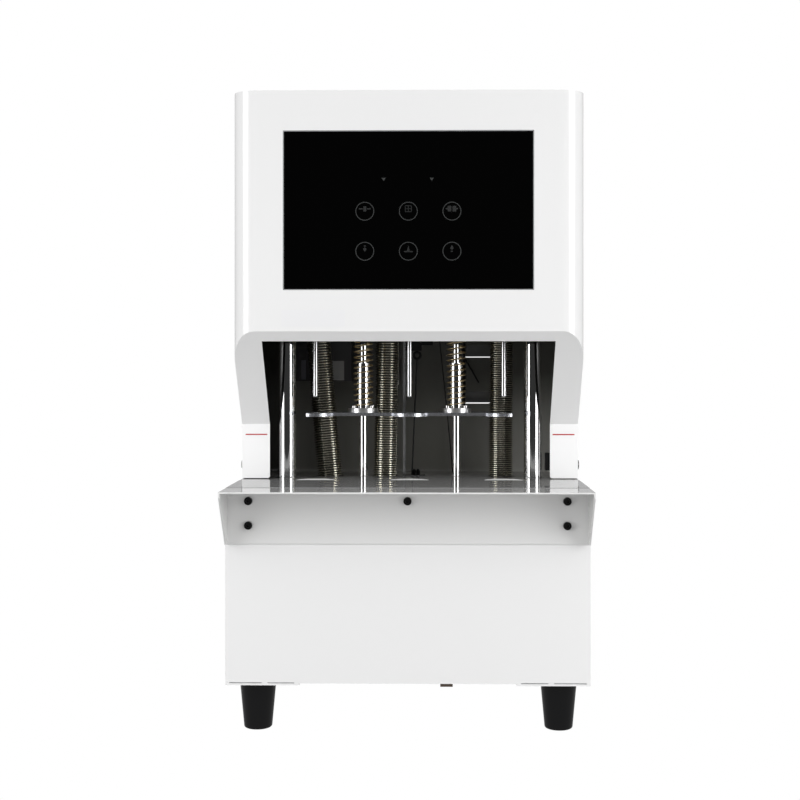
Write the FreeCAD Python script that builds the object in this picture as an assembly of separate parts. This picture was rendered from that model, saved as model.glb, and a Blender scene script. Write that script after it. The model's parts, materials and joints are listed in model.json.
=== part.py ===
"""Desk machine that drills three holes through a stack of sheets: base, drilling head, press plate.

Millimetres. While a piece is drawn, X is measured from the middle plane, Y is the depth behind the
front edge of the shelf and Z the height above the table top. Each piece is then moved so that the
origin is on the floor, under the middle of the machine. The front faces -Y.
"""
import FreeCAD, Part
import math
import os

V = FreeCAD.Vector
UP = V(0, 0, 1)
BACK = V(0, 1, 0)
RIGHT = V(1, 0, 0)

# Base
BASE_HEIGHT = 205.5
FOOT_HEIGHT = 51.0
FOOT_TOP_R = 19.4
FOOT_BOTTOM_R = 14.7
FOOT_ROUNDING = 2.5
FOOT_RECESS_R = 7.0
FOOT_RECESS_DEPTH = 34.0
FOOT_SIDE_INSET = 30.5
FOOT_END_INSET = 30.0
FOOT_PLATE_WIDTH = 77.0
FOOT_PLATE_THICKNESS = 2.0
FOOT_PLATE_GAP = 1.0
FOOT_SCREW_R = 3.0
FOOT_SCREW_HEAD_R = 5.5
FOOT_SCREW_HEAD = 4.0
FOOT_NUT_AF = 10.0
FOOT_NUT_HEIGHT = 5.0
FOOT_SLOT_OUTER = (4.0, 38.0)
FOOT_SLOT_INNER = (44.0, 72.0)
PLUG_X = 40.5
PLUG_WIDTH = 13.0
PLUG_INSET = 4.0
PLUG_DEPTH = 12.0
PLUG_DROP = 2.0
VENT_LENGTH = 50.0
VENT_WIDTH = 4.0
VENT_PITCH = 12.0
VENT_ROWS = 5
VENT_REAR_MARGIN = 50.0
VENT_COLUMN_PITCH = 60.0
SHEET = 1.5
FLANGE = 12.0
DECK_THICKNESS = 7.5
REAR_SLIT = 0.15
REAR_SLIT_RISE = 1.9

# Shelf on the front of the base
SHELF_SIDE_STEP = 1.0
SHELF_REACH = 50.0
SHELF_SHEET = 1.5
SHELF_DROP = 58.0
SHELF_GUSSET_TOP = 6.0
SHELF_GUSSET_BOTTOM = 10.0
SHELF_SCREW_INSET = 23.5
SHELF_SCREW_DROP = 13.4
SHELF_SCREW_PITCH = 25.4
SHELF_SCREW_R = 2.5
SHELF_SCREW_HEAD_R = 4.25
SHELF_SCREW_HEAD = 4.0
SHELF_SCREW_LENGTH = 12.0
SHELF_SCREW_ROUNDING = 0.6
HEX_KEY_AF = 4.0
HEX_KEY_DEPTH = 2.5

# Table
TABLE_ABOVE_DECK = 3.0
TABLE_SIDE_STEP = 1.0
TABLE_REACH_UNDER_LEGS = 8.0
TABLE_SHORT_OF_HOSES = 18.0
TABLE_COVER = 0.4
TABLE_COVER_STEP = 0.3
TABLE_COVER_SHORT_OF_DRILLS = 5.0
PAD_R = 22.0
PAD_THICKNESS = 5.0
PAD_CHAMFER = 0.3
PAD_HEADROOM = 0.2
TURNING_GAP = 0.3

# Drilling line, columns and guide rods
HOLE_PITCH = 105.0
DRILL_SETBACK = 97.0
COLUMN_PAST_DRILL = 33.7
COLUMN_SIDE_ROOM = 19.3
COLUMN_SETBACK = 20.0
COLUMN_R = 10.0
COLUMN_STUD_R = 6.0
COLUMN_NUT_AF = 19.0
COLUMN_NUT_HEIGHT = 10.0
ROD_R = 4.0
ROD_STUD_R = 3.0
ROD_NUT_AF = 10.0
ROD_NUT_HEIGHT = 5.0
STUD_END = 3.0
TOP_PLATE_DROP = 70.0
TOP_PLATE_THICKNESS = 10.0
TOP_PLATE_AHEAD = 35.0
TOP_PLATE_BEHIND_SCREW = 33.0
RUNNING_FIT = 0.05

# Carriage
DRILL_TIP_ABOVE_PRESS = 17.8
DRILL_TIP_GAP = 0.3
CARRIAGE_DROP = 137.0
CARRIAGE_THICKNESS = 12.0
CARRIAGE_SIDE_ROOM = 27.5
CARRIAGE_AHEAD = 47.5
CARRIAGE_BEHIND_COLUMNS = 29.0
CARRIAGE_NOTCH_WIDTH = 8.0
CARRIAGE_NOTCH_DEPTH = 26.0
TONGUE_LEFT_REACH = 42.3
TONGUE_RIGHT_REACH = 67.7
TONGUE_BEHIND_SCREW = 19.0
TONGUE_ARM = 14.0
TONGUE_CROSSBAR = 35.0
SPINDLE_PLATE_DROP = 56.0
SPINDLE_PLATE_THICKNESS = 8.0
SPINDLE_PLATE_MARGIN = 20.0
SPINDLE_PLATE_AHEAD = 49.0
SPINDLE_PLATE_BEHIND_COLUMNS = 9.0
POST_R = 5.0
POST_INSET = 27.0
POST_AHEAD = 39.0
POST_BEHIND_COLUMNS = 3.0
ROD_PASSAGE = 1.5
COLUMN_BEARING_R = 16.0
COLUMN_BEARING_FLANGE_R = 25.0
COLUMN_BEARING_FLANGE = 8.0
COLUMN_BEARING_LENGTH = 42.0

# Spindles, drills and their drive
SPINDLE_R = 10.0
SPINDLE_BORE_R = 3.2
SPINDLE_NOSE_R = 13.0
SPINDLE_NOSE_LENGTH = 25.0
SPINDLE_NOSE_GAP = 3.0
SPINDLE_JOURNAL_R = 8.0
HOUSING_R = 19.0
HOUSING_HEIGHT = 35.0
HOUSING_PASSAGE_R = 14.0
DRILL_R = 2.8
DRILL_BORE_R = 2.1
DRILL_SHANK_R = 6.0
DRILL_SHANK_LENGTH = 20.0
DRILL_BEVEL = 1.2
PULLEY_R = 12.0
PULLEY_RIM_R = 13.6
PULLEY_RIM = 1.0
BELT_WIDTH = 7.0
BELT_THICKNESS = 1.5
BELT_LOW_DROP = 19.0
BELT_HIGH_DROP = 10.0
MOTOR_AHEAD = 26.0
MOTOR_R = 22.0
MOTOR_HEIGHT = 39.0
MOTOR_SHAFT_R = 4.0
MOTOR_SHAFT_DEPTH = 25.0

# Lift screw with its nut and gear motor
SCREW_X = -19.7
SCREW_BEHIND_HOSES = 33.0
SCREW_REAR_ROOM = 63.0
SCREW_R = 8.0
SCREW_TIP_SPARE = 4.5
SCREW_JOURNAL_R = 6.0
SCREW_JOURNAL_RISE = 14.0
NUT_R = 12.0
NUT_FLANGE_R = 17.0
NUT_FLANGE = 6.0
NUT_DROP = 12.0
GEARBOX_SIDE = 46.0
GEARBOX_HEIGHT = 42.0
GEARBOX_CORNER_R = 4.0
LIFT_MOTOR_R = 18.0
LIFT_MOTOR_LENGTH = 78.0

# Press plate, its bearings and springs
PRESS_HEIGHT = 71.3
PRESS_THICKNESS = 3.6
PRESS_MARGIN = 8.4
PRESS_SETBACK = 4.0
PRESS_BEHIND_COLUMNS = 19.0
PRESS_LOBE_R = 20.8
PRESS_HOLE_R = 4.5
PRESS_GRUB_R = 1.2
BEARING_R = 7.6
BEARING_LENGTH = 55.5
BEARING_FLANGE_R = 16.8
BEARING_FLANGE = 5.2
BEARING_CHAMFER = 0.5
BEARING_SCREW_CIRCLE_R = 14.2
BEARING_SCREW_R = 1.5
BEARING_SCREW_HEAD_R = 2.2
BEARING_SCREW_HEAD = 2.4
SLOT_WIDTH = 0.8
SLOT_DEPTH = 0.9
SPRING_R = 10.3
SPRING_WIRE_R = 0.75
SPRING_HALF_TURNS = 43

# Chip hoses, their elbows and collars
HOSE_R = 14.3
HOSE_VALLEY_R = 13.3
HOSE_BORE_R = 12.2
HOSE_SETBACK = 49.0
HOSE_RIBS = {"left": 104, "centre": 107, "right": 121}
HOSE_BOTTOM_SHIFT = {"left": 10.4, "centre": -29.4, "right": 0.1}
HOSE_TOP_SHIFT = {"left": -13.0, "centre": -25.6, "right": 1.5}
HOSE_TOP_DROP = 2.0
COLLAR_R = 16.5
COLLAR_HEIGHT = 1.8
COLLAR_SPIGOT_DROP = 4.0
ELBOW_R = 9.5
ELBOW_BORE_R = 8.0
ELBOW_BEND_R = 14.0
ELBOW_RISE = 6.0
ELBOW_FLANGE_R = 15.0
ELBOW_FLANGE = 4.0
ELBOW_FOOT_R = 14.0
ELBOW_FOOT = 3.0

# Head
HEAD_SIDE_STEP = 0.5
HEAD_HEIGHT = 422.0
HEAD_CORNER_R = 24.0
CHIN_OVERHANG = 76.0
CHIN_HEIGHT = 164.0
BEND_HEIGHT = 61.8
LEG_AHEAD_OF_COLUMNS = 3.0
LEG_WIDTH = 31.5
LEG_BOTTOM = 0.7
LEG_CORNER_R = 2.5
THROAT_BELOW_CHIN = 10.4
LINER_BELOW_CARRIAGE = 9.0
LINER_REAR_ROOM = 9.0
LOUVRE_RIGHT_MARGIN = 69.5
LOUVRE_WIDTH = 58.0
LOUVRE_HEIGHT = 15.0
LOUVRE_FIRST = 81.2
LOUVRE_PITCH = 57.1
LOUVRE_COUNT = 5
LOUVRE_SLIT = 1.2
LOUVRE_DEPTH = 5.0
LOUVRE_SHEET = 1.2
LEG_SCREW_SETBACK = 16.0
LEG_SCREW_HEIGHT = 15.0
LEG_SCREW_HEAD_R = 5.8
LEG_SCREW_HEAD = 2.6
LEG_SCREW_LENGTH = 8.0
COVER_SCREW_HEAD_R = 4.0
COVER_SCREW_HEAD = 2.2
COVER_SCREW_R = 2.0
COVER_SCREW_LENGTH = 7.0
COVER_SCREW_SLOT = 1.0
COVER_SCREW_SLOT_DEPTH = 0.9
REAR_SCREW_LOW = 30.0
REAR_SCREW_PITCH = 130.0
REAR_SCREW_TOP_MARGIN = 10.0
PANEL_SIDE_MARGIN = 55.6
PANEL_RISE = 44.6
PANEL_TOP_MARGIN = 43.4
PANEL_GAP = 0.4
PANEL_RECESS = 0.4
PANEL_RIM = 6.0
PANEL_DEPTH = 4.0
PANEL_CORNER_R = 1.5

# Sensor strip, switches and wires
STRIP_X = -9.0
STRIP_THICKNESS = 3.0
STRIP_AHEAD_OF_HOSES = 1.0
STRIP_WIDTH = 12.0
STRIP_BELOW_CARRIAGE = 39.0
STRIP_FOOT = 26.0
STRIP_BEND_R = 3.0
STRIP_BOLT_X = 6.2
STRIP_BOLT_PITCH = 4.8
STRIP_BOLT_R = 1.25
STRIP_NUT_AF = 4.0
STRIP_NUT_HEIGHT = 6.0
STRIP_HEAD_HEIGHT = 2.0
SWITCH_WIDTH = 19.0
SWITCH_BELOW_STRIP_TOP = 8.8
SWITCH_HEIGHT = 22.0
SWITCH_BAR = 13.0
SWITCH_BAR_RISE = 6.5
SWITCH_BAR_INSET = 3.0
CABLE_R = 0.9
CABLE_TOP_X = 7.5
CABLE_BOTTOM_X = 1.3
CABLE_BEHIND_STRIP = 2.0
RING_R = 3.8
RING_WIRE_R = 1.5
LEG_SENSOR_WIDTH = 5.0
LEG_SENSOR_OVERLAP = 2.0
LEG_SENSOR_DEPTH = 10.0
LEG_SENSOR_HEIGHT = 19.5
LEG_SENSOR_BOTTOM = 9.5
LEG_SENSOR_ARM = 3.0
HARNESS_PAST_LOUVRE = 2.6
HARNESS_GAP = 1.0
HARNESS_R = 1.3
HARNESS_BOTTOM = 72.0
WIRE_R = 0.6
WIRE_TOP_X = 28.8
WIRE_FOOT_X = 50.0
WIRE_FOOT_AHEAD = 41.0
WIRE_TOP_AHEAD = 11.0
WIRE_SAG = 0.8
TIE_RISE = 135.0
TIE_BAND = 3.0
TIE_TAIL_R = 0.9
TIE_TAIL = V(17.0, 0.0, -29.4)
SUPPLY_SIDE_ROOM = 51.7
SUPPLY_WIDTH = 67.8
SUPPLY_BEHIND_HOSES = 24.0
SUPPLY_HEIGHT = 90.0
SUPPLY_BELOW_LINER_TOP = 6.3
SUPPLY_CORNER_R = 2.0

# Chip drawer, its rails and the electrics in the base
DRAWER_SIDE_ROOM = 57.0
DRAWER_FLOOR_RISE = 107.5
DRAWER_DROP = 7.5
DRAWER_SETBACK = 17.0
DRAWER_SHEET = 1.2
DRAWER_PANEL_MARGIN = 3.0
DRAWER_PANEL_GAP = 1.5
DRAWER_LIP = 10.0
RAIL_FLANGE = 12.0
GRILLE_SLOTS = 8
GRILLE_INSET = 50.0
GRILLE_PITCH = 22.0
GRILLE_WIDTH = 6.0
GRILLE_RISE = 20.5
GRILLE_HEIGHT = 55.0
REAR_SCREW_INSET = 15.0
REAR_SCREW_TOP = 40.0
INLET_INSET = 60.0
INLET_RISE = 50.5
INLET_WIDTH = 30.0
INLET_HEIGHT = 62.0
INLET_DEPTH = 30.0
INLET_RIM = 2.0
INLET_RIM_WIDTH = 3.0
SOCKET_WIDTH = 24.0
SOCKET_HEIGHT = 16.0
SOCKET_DEPTH = 17.0
SOCKET_DROP = 15.0
PIN_REACH = 11.0
PIN_WIDTH = 2.0
PIN_HEIGHT = 4.0
PIN_SPREAD = 7.0
PIN_STAGGER = 2.0
ROCKER_R = 10.0
ROCKER_WIDTH = 18.0
ROCKER_RISE = 15.0
ROCKER_TILT = 12.0
ROCKER_AXIS_DEPTH = 4.0
ROCKER_VALLEY_PROUD = 0.5
BOARD_INSET = 65.0
BOARD_SETBACK = 60.0
BOARD_WIDTH = 130.0
BOARD_DEPTH = 90.0
BOARD_LIFT = 6.0
BOARD_SHEET = 1.6
BOARD_POST_R = 3.0
BOARD_POST_INSET = 5.0
BOARD_TRANSFORMER = V(36.0, 30.0, 28.0)
BOARD_RELAY = V(26.0, 25.0, 16.0)
BOARD_CONNECTOR = V(60.0, 10.0, 11.0)
BOARD_CAN_R = 7.0
BOARD_CAN_HEIGHT = 22.0
BOARD_CAN_PITCH = 20.0

# Sizes that follow from the ones above
BASE_FRONT = SHELF_REACH
DRILL_LINE = BASE_FRONT + DRILL_SETBACK
COLUMN_LINE = DRILL_LINE + COLUMN_SETBACK
HOSE_LINE = COLUMN_LINE + HOSE_SETBACK
SCREW_Y = HOSE_LINE + SCREW_BEHIND_HOSES
BASE_BACK = SCREW_Y + SCREW_REAR_ROOM
BASE_INNER_BACK = BASE_BACK - SHEET
OVERALL_DEPTH = BASE_BACK + DRAWER_LIP
COLUMN_SPREAD = HOLE_PITCH + COLUMN_PAST_DRILL
THROAT_WIDTH = 2 * (COLUMN_SPREAD + COLUMN_SIDE_ROOM)
HEAD_WIDTH = THROAT_WIDTH + 2 * LEG_WIDTH
BASE_WIDTH = HEAD_WIDTH + 2 * HEAD_SIDE_STEP
SHELF_WIDTH = BASE_WIDTH - 2 * SHELF_SIDE_STEP
TABLE_WIDTH = BASE_WIDTH - 2 * TABLE_SIDE_STEP
CARRIAGE_WIDTH = HEAD_WIDTH - 2 * CARRIAGE_SIDE_ROOM
PANEL_WIDTH = HEAD_WIDTH - 2 * PANEL_SIDE_MARGIN
DRAWER_WIDTH = BASE_WIDTH - 2 * DRAWER_SIDE_ROOM
PRESS_WIDTH = 2 * (HOLE_PITCH + PRESS_MARGIN)
SPINDLE_PLATE_WIDTH = 2 * (HOLE_PITCH + SPINDLE_PLATE_MARGIN)
SHELF_SCREW_SPREAD = SHELF_WIDTH / 2 - SHELF_SCREW_INSET
ROD_SPREAD = HOLE_PITCH / 2
POST_SPREAD = HOLE_PITCH - POST_INSET
MOTOR_X = -ROD_SPREAD
LOUVRE_LEFT = HEAD_WIDTH / 2 - LOUVRE_RIGHT_MARGIN - LOUVRE_WIDTH
HARNESS_X = LOUVRE_LEFT + HARNESS_PAST_LOUVRE
SUPPLY_LEFT = SUPPLY_SIDE_ROOM - HEAD_WIDTH / 2
INLET_X = BASE_WIDTH / 2 - INLET_INSET
HOLE_X = {"left": -HOLE_PITCH, "centre": 0.0, "right": HOLE_PITCH}
HOSE_BOTTOM_X = {side: x + HOSE_BOTTOM_SHIFT[side] for side, x in HOLE_X.items()}
HOSE_TOP_X = {side: x + HOSE_TOP_SHIFT[side] for side, x in HOLE_X.items()}
LEG_Y = COLUMN_LINE - LEG_AHEAD_OF_COLUMNS
FACE_Y = LEG_Y - CHIN_OVERHANG
TABLE_COVER_REAR = DRILL_LINE - TABLE_COVER_SHORT_OF_DRILLS
TABLE_WIDE_REAR = LEG_Y + TABLE_REACH_UNDER_LEGS
TABLE_REAR = HOSE_LINE - TABLE_SHORT_OF_HOSES
STRIP_Y = HOSE_LINE - STRIP_AHEAD_OF_HOSES
CABLE_Y = STRIP_Y + STRIP_WIDTH + CABLE_BEHIND_STRIP
LEG_SCREW_Y = LEG_Y + LEG_SCREW_SETBACK
LINER_Y = BASE_BACK - LINER_REAR_ROOM
SUPPLY_Y = HOSE_LINE + SUPPLY_BEHIND_HOSES
MOTOR_Y = DRILL_LINE - MOTOR_AHEAD
CARRIAGE_FRONT = DRILL_LINE - CARRIAGE_AHEAD
CARRIAGE_REAR = COLUMN_LINE + CARRIAGE_BEHIND_COLUMNS
TONGUE_REAR = SCREW_Y + TONGUE_BEHIND_SCREW
PRESS_FRONT = DRILL_LINE + PRESS_SETBACK
PRESS_REAR = COLUMN_LINE + PRESS_BEHIND_COLUMNS
DRAWER_FRONT = COLUMN_LINE + DRAWER_SETBACK
TABLE_LEVEL = TABLE_COVER_STEP - TABLE_COVER
PAD_TOP = TABLE_LEVEL - PAD_HEADROOM
PAD_BOTTOM = PAD_TOP - PAD_THICKNESS
DECK_TOP = -TABLE_ABOVE_DECK
DECK_BOTTOM = DECK_TOP - DECK_THICKNESS
HOUSING_BOTTOM = FOOT_PLATE_THICKNESS - BASE_HEIGHT
INLET_Z = INLET_RISE - BASE_HEIGHT
DRAWER_TOP = DECK_BOTTOM - DRAWER_DROP
DRAWER_BOTTOM = DRAWER_FLOOR_RISE - BASE_HEIGHT
THROAT_HEIGHT = CHIN_HEIGHT - THROAT_BELOW_CHIN
TOP_PLATE_HEIGHT = HEAD_HEIGHT - TOP_PLATE_DROP
TOP_PLATE_TOP = TOP_PLATE_HEIGHT + TOP_PLATE_THICKNESS
SPINDLE_PLATE_HEIGHT = TOP_PLATE_HEIGHT - SPINDLE_PLATE_DROP
SPINDLE_PLATE_TOP = SPINDLE_PLATE_HEIGHT + SPINDLE_PLATE_THICKNESS
CARRIAGE_HEIGHT = TOP_PLATE_HEIGHT - CARRIAGE_DROP
CARRIAGE_TOP = CARRIAGE_HEIGHT + CARRIAGE_THICKNESS
SPINDLE_NOSE_TOP = CARRIAGE_HEIGHT - SPINDLE_NOSE_GAP
SPINDLE_NOSE_BOTTOM = SPINDLE_NOSE_TOP - SPINDLE_NOSE_LENGTH
BELT_LOW = SPINDLE_PLATE_HEIGHT - BELT_LOW_DROP
BELT_HIGH = SPINDLE_PLATE_HEIGHT - BELT_HIGH_DROP
PRESS_TOP = PRESS_HEIGHT + PRESS_THICKNESS
DRILL_TIP_HEIGHT = PRESS_TOP + DRILL_TIP_ABOVE_PRESS
CARRIAGE_TRAVEL = DRILL_TIP_HEIGHT - DRILL_TIP_GAP
SCREW_TIP_HEIGHT = CARRIAGE_HEIGHT - NUT_DROP - CARRIAGE_TRAVEL - SCREW_TIP_SPARE
PANEL_BOTTOM = CHIN_HEIGHT + PANEL_RISE
PANEL_HEIGHT = HEAD_HEIGHT - PANEL_TOP_MARGIN - PANEL_BOTTOM
LINER_HEIGHT = CARRIAGE_HEIGHT - LINER_BELOW_CARRIAGE
SUPPLY_BOTTOM = LINER_HEIGHT - SUPPLY_BELOW_LINER_TOP - SUPPLY_HEIGHT
STRIP_HEIGHT = CARRIAGE_HEIGHT - STRIP_BELOW_CARRIAGE
SWITCH_BOTTOM = STRIP_HEIGHT - SWITCH_BELOW_STRIP_TOP - SWITCH_HEIGHT
HOSE_BOTTOM_HEIGHT = DECK_TOP + COLLAR_HEIGHT
HOSE_TOP_HEIGHT = SPINDLE_PLATE_TOP - HOSE_TOP_DROP
PAST = 1.0
SIDES = (-1, 1)


# Basic solids
def box(x0, x1, y0, y1, z0, z1):
    return Part.makeBox(x1 - x0, y1 - y0, z1 - z0, V(x0, y0, z0))


def rod(x, y, z0, z1, r):
    return Part.makeCylinder(r, z1 - z0, V(x, y, z0), UP)


def tube(x, y, z0, z1, r, bore):
    return rod(x, y, z0, z1, r).cut(rod(x, y, z0 - 1, z1 + 1, bore))


def rod_back(x, y0, y1, z, r):
    return Part.makeCylinder(r, y1 - y0, V(x, y0, z), BACK)


def rod_right(x0, x1, y, z, r):
    return Part.makeCylinder(r, x1 - x0, V(x0, y, z), RIGHT)


def hexagon(x, y, z0, z1, across_flats):
    r = across_flats / math.sqrt(3)
    corners = [V(x + r * math.cos(k * math.pi / 3), y + r * math.sin(k * math.pi / 3), z0) for k in range(7)]
    return Part.Face(Part.makePolygon(corners)).extrude(V(0, 0, z1 - z0))


def prism_x(points, x0, x1):
    """A solid between x0 and x1 whose section is a polygon of (y, z) points."""
    corners = [V(x0, y, z) for y, z in points]
    return Part.Face(Part.makePolygon(corners + corners[:1])).extrude(V(x1 - x0, 0, 0))


def fuse(shapes):
    whole = shapes[0]
    for shape in shapes[1:]:
        whole = whole.fuse(shape)
    return whole.removeSplitter()


def cut(shape, tools):
    for tool in tools:
        shape = shape.cut(tool)
    return shape


def group(shapes):
    return Part.makeCompound(shapes)


def export(name, shape):
    moved = shape.copy()
    moved.translate(V(0, -OVERALL_DEPTH / 2, BASE_HEIGHT + FOOT_HEIGHT))
    moved.exportStep("parts/" + name + ".step")


# Base
def foot_places():
    x = BASE_WIDTH / 2 - FOOT_SIDE_INSET
    return [(side * x, y) for side in SIDES
            for y in (BASE_FRONT + FOOT_END_INSET, BASE_BACK - FOOT_END_INSET)]


def base_housing():
    half = BASE_WIDTH / 2
    shell = box(-half, half, BASE_FRONT, BASE_INNER_BACK, HOUSING_BOTTOM, 0)
    inside = box(-half + SHEET, half - SHEET, BASE_FRONT + SHEET, BASE_INNER_BACK + 1,
                 HOUSING_BOTTOM - 1, 1)
    shell = shell.cut(inside)
    table_step = box(-half - 1, half + 1, BASE_FRONT - 1, TABLE_WIDE_REAR + TURNING_GAP, DECK_TOP, 1)
    shell = shell.cut(table_step)
    for side in SIDES:
        edge = sorted((side * (half - SHEET), side * (half - SHEET - FLANGE)))
        flange = box(edge[0], edge[1], BASE_INNER_BACK - SHEET, BASE_INNER_BACK,
                     HOUSING_BOTTOM + SHEET, DECK_BOTTOM)
        shell = shell.fuse(flange)
        for near, far in (FOOT_SLOT_OUTER, FOOT_SLOT_INNER):
            reach = sorted((side * (half - near), side * (half - far)))
            slot = box(reach[0], reach[1], BASE_FRONT - 1, BASE_FRONT + SHEET + 1,
                       HOUSING_BOTTOM - 1, HOUSING_BOTTOM + FOOT_PLATE_GAP)
            shell = shell.cut(slot)
    holes = [rod_back(x, BASE_FRONT - 1, BASE_FRONT + SHEET + 1, z, SHELF_SCREW_R)
             for x, z in shelf_screw_places()]
    holes += [rod_back(x, BASE_INNER_BACK - 5, BASE_BACK + 5, z, COVER_SCREW_R)
              for x, z in base_rear_screw_places()]
    return cut(shell.removeSplitter(), holes)


def foot_plates():
    half = BASE_WIDTH / 2
    plates = []
    for side in SIDES:
        edge = sorted((side * half, side * (half - FOOT_PLATE_WIDTH)))
        plate = box(edge[0], edge[1], BASE_FRONT, BASE_INNER_BACK, -BASE_HEIGHT, HOUSING_BOTTOM)
        holes = [rod(x, y, -BASE_HEIGHT - 1, HOUSING_BOTTOM + 1, FOOT_SCREW_R)
                 for x, y in foot_places() if x * side > 0]
        plates.append(cut(plate, holes))
    return group(plates)


def base_bottom_plate():
    half = BASE_WIDTH / 2 - SHEET
    plate = box(-half, half, BASE_FRONT + SHEET, BASE_INNER_BACK, HOUSING_BOTTOM, HOUSING_BOTTOM + SHEET)
    holes = [rod(x, y, HOUSING_BOTTOM - 1, HOUSING_BOTTOM + SHEET + 1, FOOT_SCREW_R)
             for x, y in foot_places()]
    vents = []
    for column in (-1, 0, 1):
        x = column * VENT_COLUMN_PITCH - VENT_LENGTH / 2
        for row in range(VENT_ROWS):
            y = BASE_BACK - VENT_REAR_MARGIN - (VENT_ROWS - row) * VENT_PITCH + VENT_PITCH / 2
            vents.append(box(x, x + VENT_LENGTH, y, y + VENT_WIDTH, HOUSING_BOTTOM - 1,
                             HOUSING_BOTTOM + SHEET + 1))
    return cut(plate, holes + vents)


def bottom_plug():
    """A small fibre pad stuck under the front of the base."""
    front = BASE_FRONT + PLUG_INSET
    return box(PLUG_X - PLUG_WIDTH / 2, PLUG_X + PLUG_WIDTH / 2, front, front + PLUG_DEPTH,
               HOUSING_BOTTOM - PLUG_DROP - FOOT_PLATE_THICKNESS, HOUSING_BOTTOM)


def rubber_feet():
    feet = []
    for x, y in foot_places():
        top = -BASE_HEIGHT
        foot = Part.makeCone(FOOT_BOTTOM_R, FOOT_TOP_R, FOOT_HEIGHT, V(x, y, top - FOOT_HEIGHT), UP)
        rim = [edge for edge in foot.Edges
               if len(edge.Vertexes) == 1 and edge.CenterOfMass.z < top - FOOT_HEIGHT + 1]
        foot = foot.makeFillet(FOOT_ROUNDING, rim)
        recess = rod(x, y, top - FOOT_HEIGHT - 1, top - FOOT_HEIGHT + FOOT_RECESS_DEPTH, FOOT_RECESS_R)
        hole = rod(x, y, top - FOOT_HEIGHT, top + 1, FOOT_SCREW_R)
        feet.append(cut(foot, [recess, hole]))
    return group(feet)


def foot_screws():
    pieces = []
    head_bottom = -BASE_HEIGHT - FOOT_HEIGHT + FOOT_RECESS_DEPTH - FOOT_SCREW_HEAD
    nut_bottom = HOUSING_BOTTOM + SHEET
    for x, y in foot_places():
        head = rod(x, y, head_bottom, head_bottom + FOOT_SCREW_HEAD, FOOT_SCREW_HEAD_R)
        nut_top = nut_bottom + FOOT_NUT_HEIGHT
        shank = rod(x, y, head_bottom, nut_top + STUD_END, FOOT_SCREW_R)
        pieces.append(fuse([head, shank]))
        nut = hexagon(x, y, nut_bottom, nut_top, FOOT_NUT_AF)
        pieces.append(nut.cut(rod(x, y, nut_bottom - 1, nut_top + 1, FOOT_SCREW_R)))
    return group(pieces)


def base_deck():
    half = BASE_WIDTH / 2 - SHEET
    deck = box(-half, half, BASE_FRONT + SHEET, BASE_INNER_BACK, DECK_BOTTOM, DECK_TOP)
    tools = []
    for side in SIDES:
        tools.append(rod(side * COLUMN_SPREAD, COLUMN_LINE, DECK_BOTTOM - 1, 1, COLUMN_STUD_R))
        tools.append(rod(side * ROD_SPREAD, COLUMN_LINE, DECK_BOTTOM - 1, 1, ROD_STUD_R))
    for x in HOLE_X.values():
        tools.append(rod(x, DRILL_LINE, PAD_BOTTOM, PAST, PAD_R + TURNING_GAP))
    for x in HOSE_BOTTOM_X.values():
        tools.append(rod(x, HOSE_LINE, DECK_BOTTOM - 1, 1, HOSE_R))
    for x, y in strip_bolt_places():
        tools.append(rod(x, y, DECK_BOTTOM - 1, 1, STRIP_BOLT_R))
    return cut(deck, tools)


def table_plate():
    """A plate with a thin cover sheet on its front part, which ends just ahead of the drills."""
    half = TABLE_WIDTH / 2
    inner_half = HEAD_WIDTH / 2 - 2 * SHEET - TURNING_GAP
    plate = fuse([box(-half, half, BASE_FRONT, TABLE_WIDE_REAR, DECK_TOP, TABLE_LEVEL),
                  box(-inner_half, inner_half, TABLE_WIDE_REAR - PAST, TABLE_REAR, DECK_TOP, TABLE_LEVEL)])
    tools = [rod(x, DRILL_LINE, DECK_TOP - PAST, PAST, PAD_R + TURNING_GAP) for x in HOLE_X.values()]
    for side in SIDES:
        tools.append(rod(side * COLUMN_SPREAD, COLUMN_LINE, DECK_TOP - PAST, PAST, COLUMN_R + TURNING_GAP))
        tools.append(rod(side * ROD_SPREAD, COLUMN_LINE, DECK_TOP - PAST, PAST, ROD_R + TURNING_GAP))
    cover = box(-half, half, BASE_FRONT, TABLE_COVER_REAR, TABLE_LEVEL, TABLE_COVER_STEP)
    return fuse([cut(plate, tools), cover])


def drill_pad(side):
    pad = rod(HOLE_X[side], DRILL_LINE, PAD_BOTTOM, PAD_TOP, PAD_R)
    rim = [edge for edge in pad.Edges if edge.CenterOfMass.z > PAD_TOP - PAST and len(edge.Vertexes) == 1]
    return pad.makeChamfer(PAD_CHAMFER, rim)


# Shelf
def shelf_screw_places():
    spread = SHELF_SCREW_SPREAD
    low = SHELF_SCREW_DROP + SHELF_SCREW_PITCH
    return [(-spread, -SHELF_SCREW_DROP), (spread, -SHELF_SCREW_DROP), (0.0, -SHELF_SCREW_DROP),
            (-spread, -low), (spread, -low)]


def front_shelf():
    half = SHELF_WIDTH / 2
    s = SHELF_SHEET
    top = box(-half, half, 0, BASE_FRONT, -s, 0)
    back = box(-half, half, BASE_FRONT - s, BASE_FRONT, -SHELF_DROP, 0)
    outline = [(0, 0), (0, -SHELF_GUSSET_TOP), (BASE_FRONT - SHELF_GUSSET_BOTTOM, -SHELF_DROP),
               (BASE_FRONT, -SHELF_DROP), (BASE_FRONT, 0)]
    gussets = [prism_x(outline, -half, -half + s), prism_x(outline, half - s, half)]
    shelf = fuse([top, back] + gussets)
    holes = [rod_back(x, 0, BASE_FRONT + 1, z, SHELF_SCREW_R) for x, z in shelf_screw_places()]
    return cut(shelf, holes)


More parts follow.
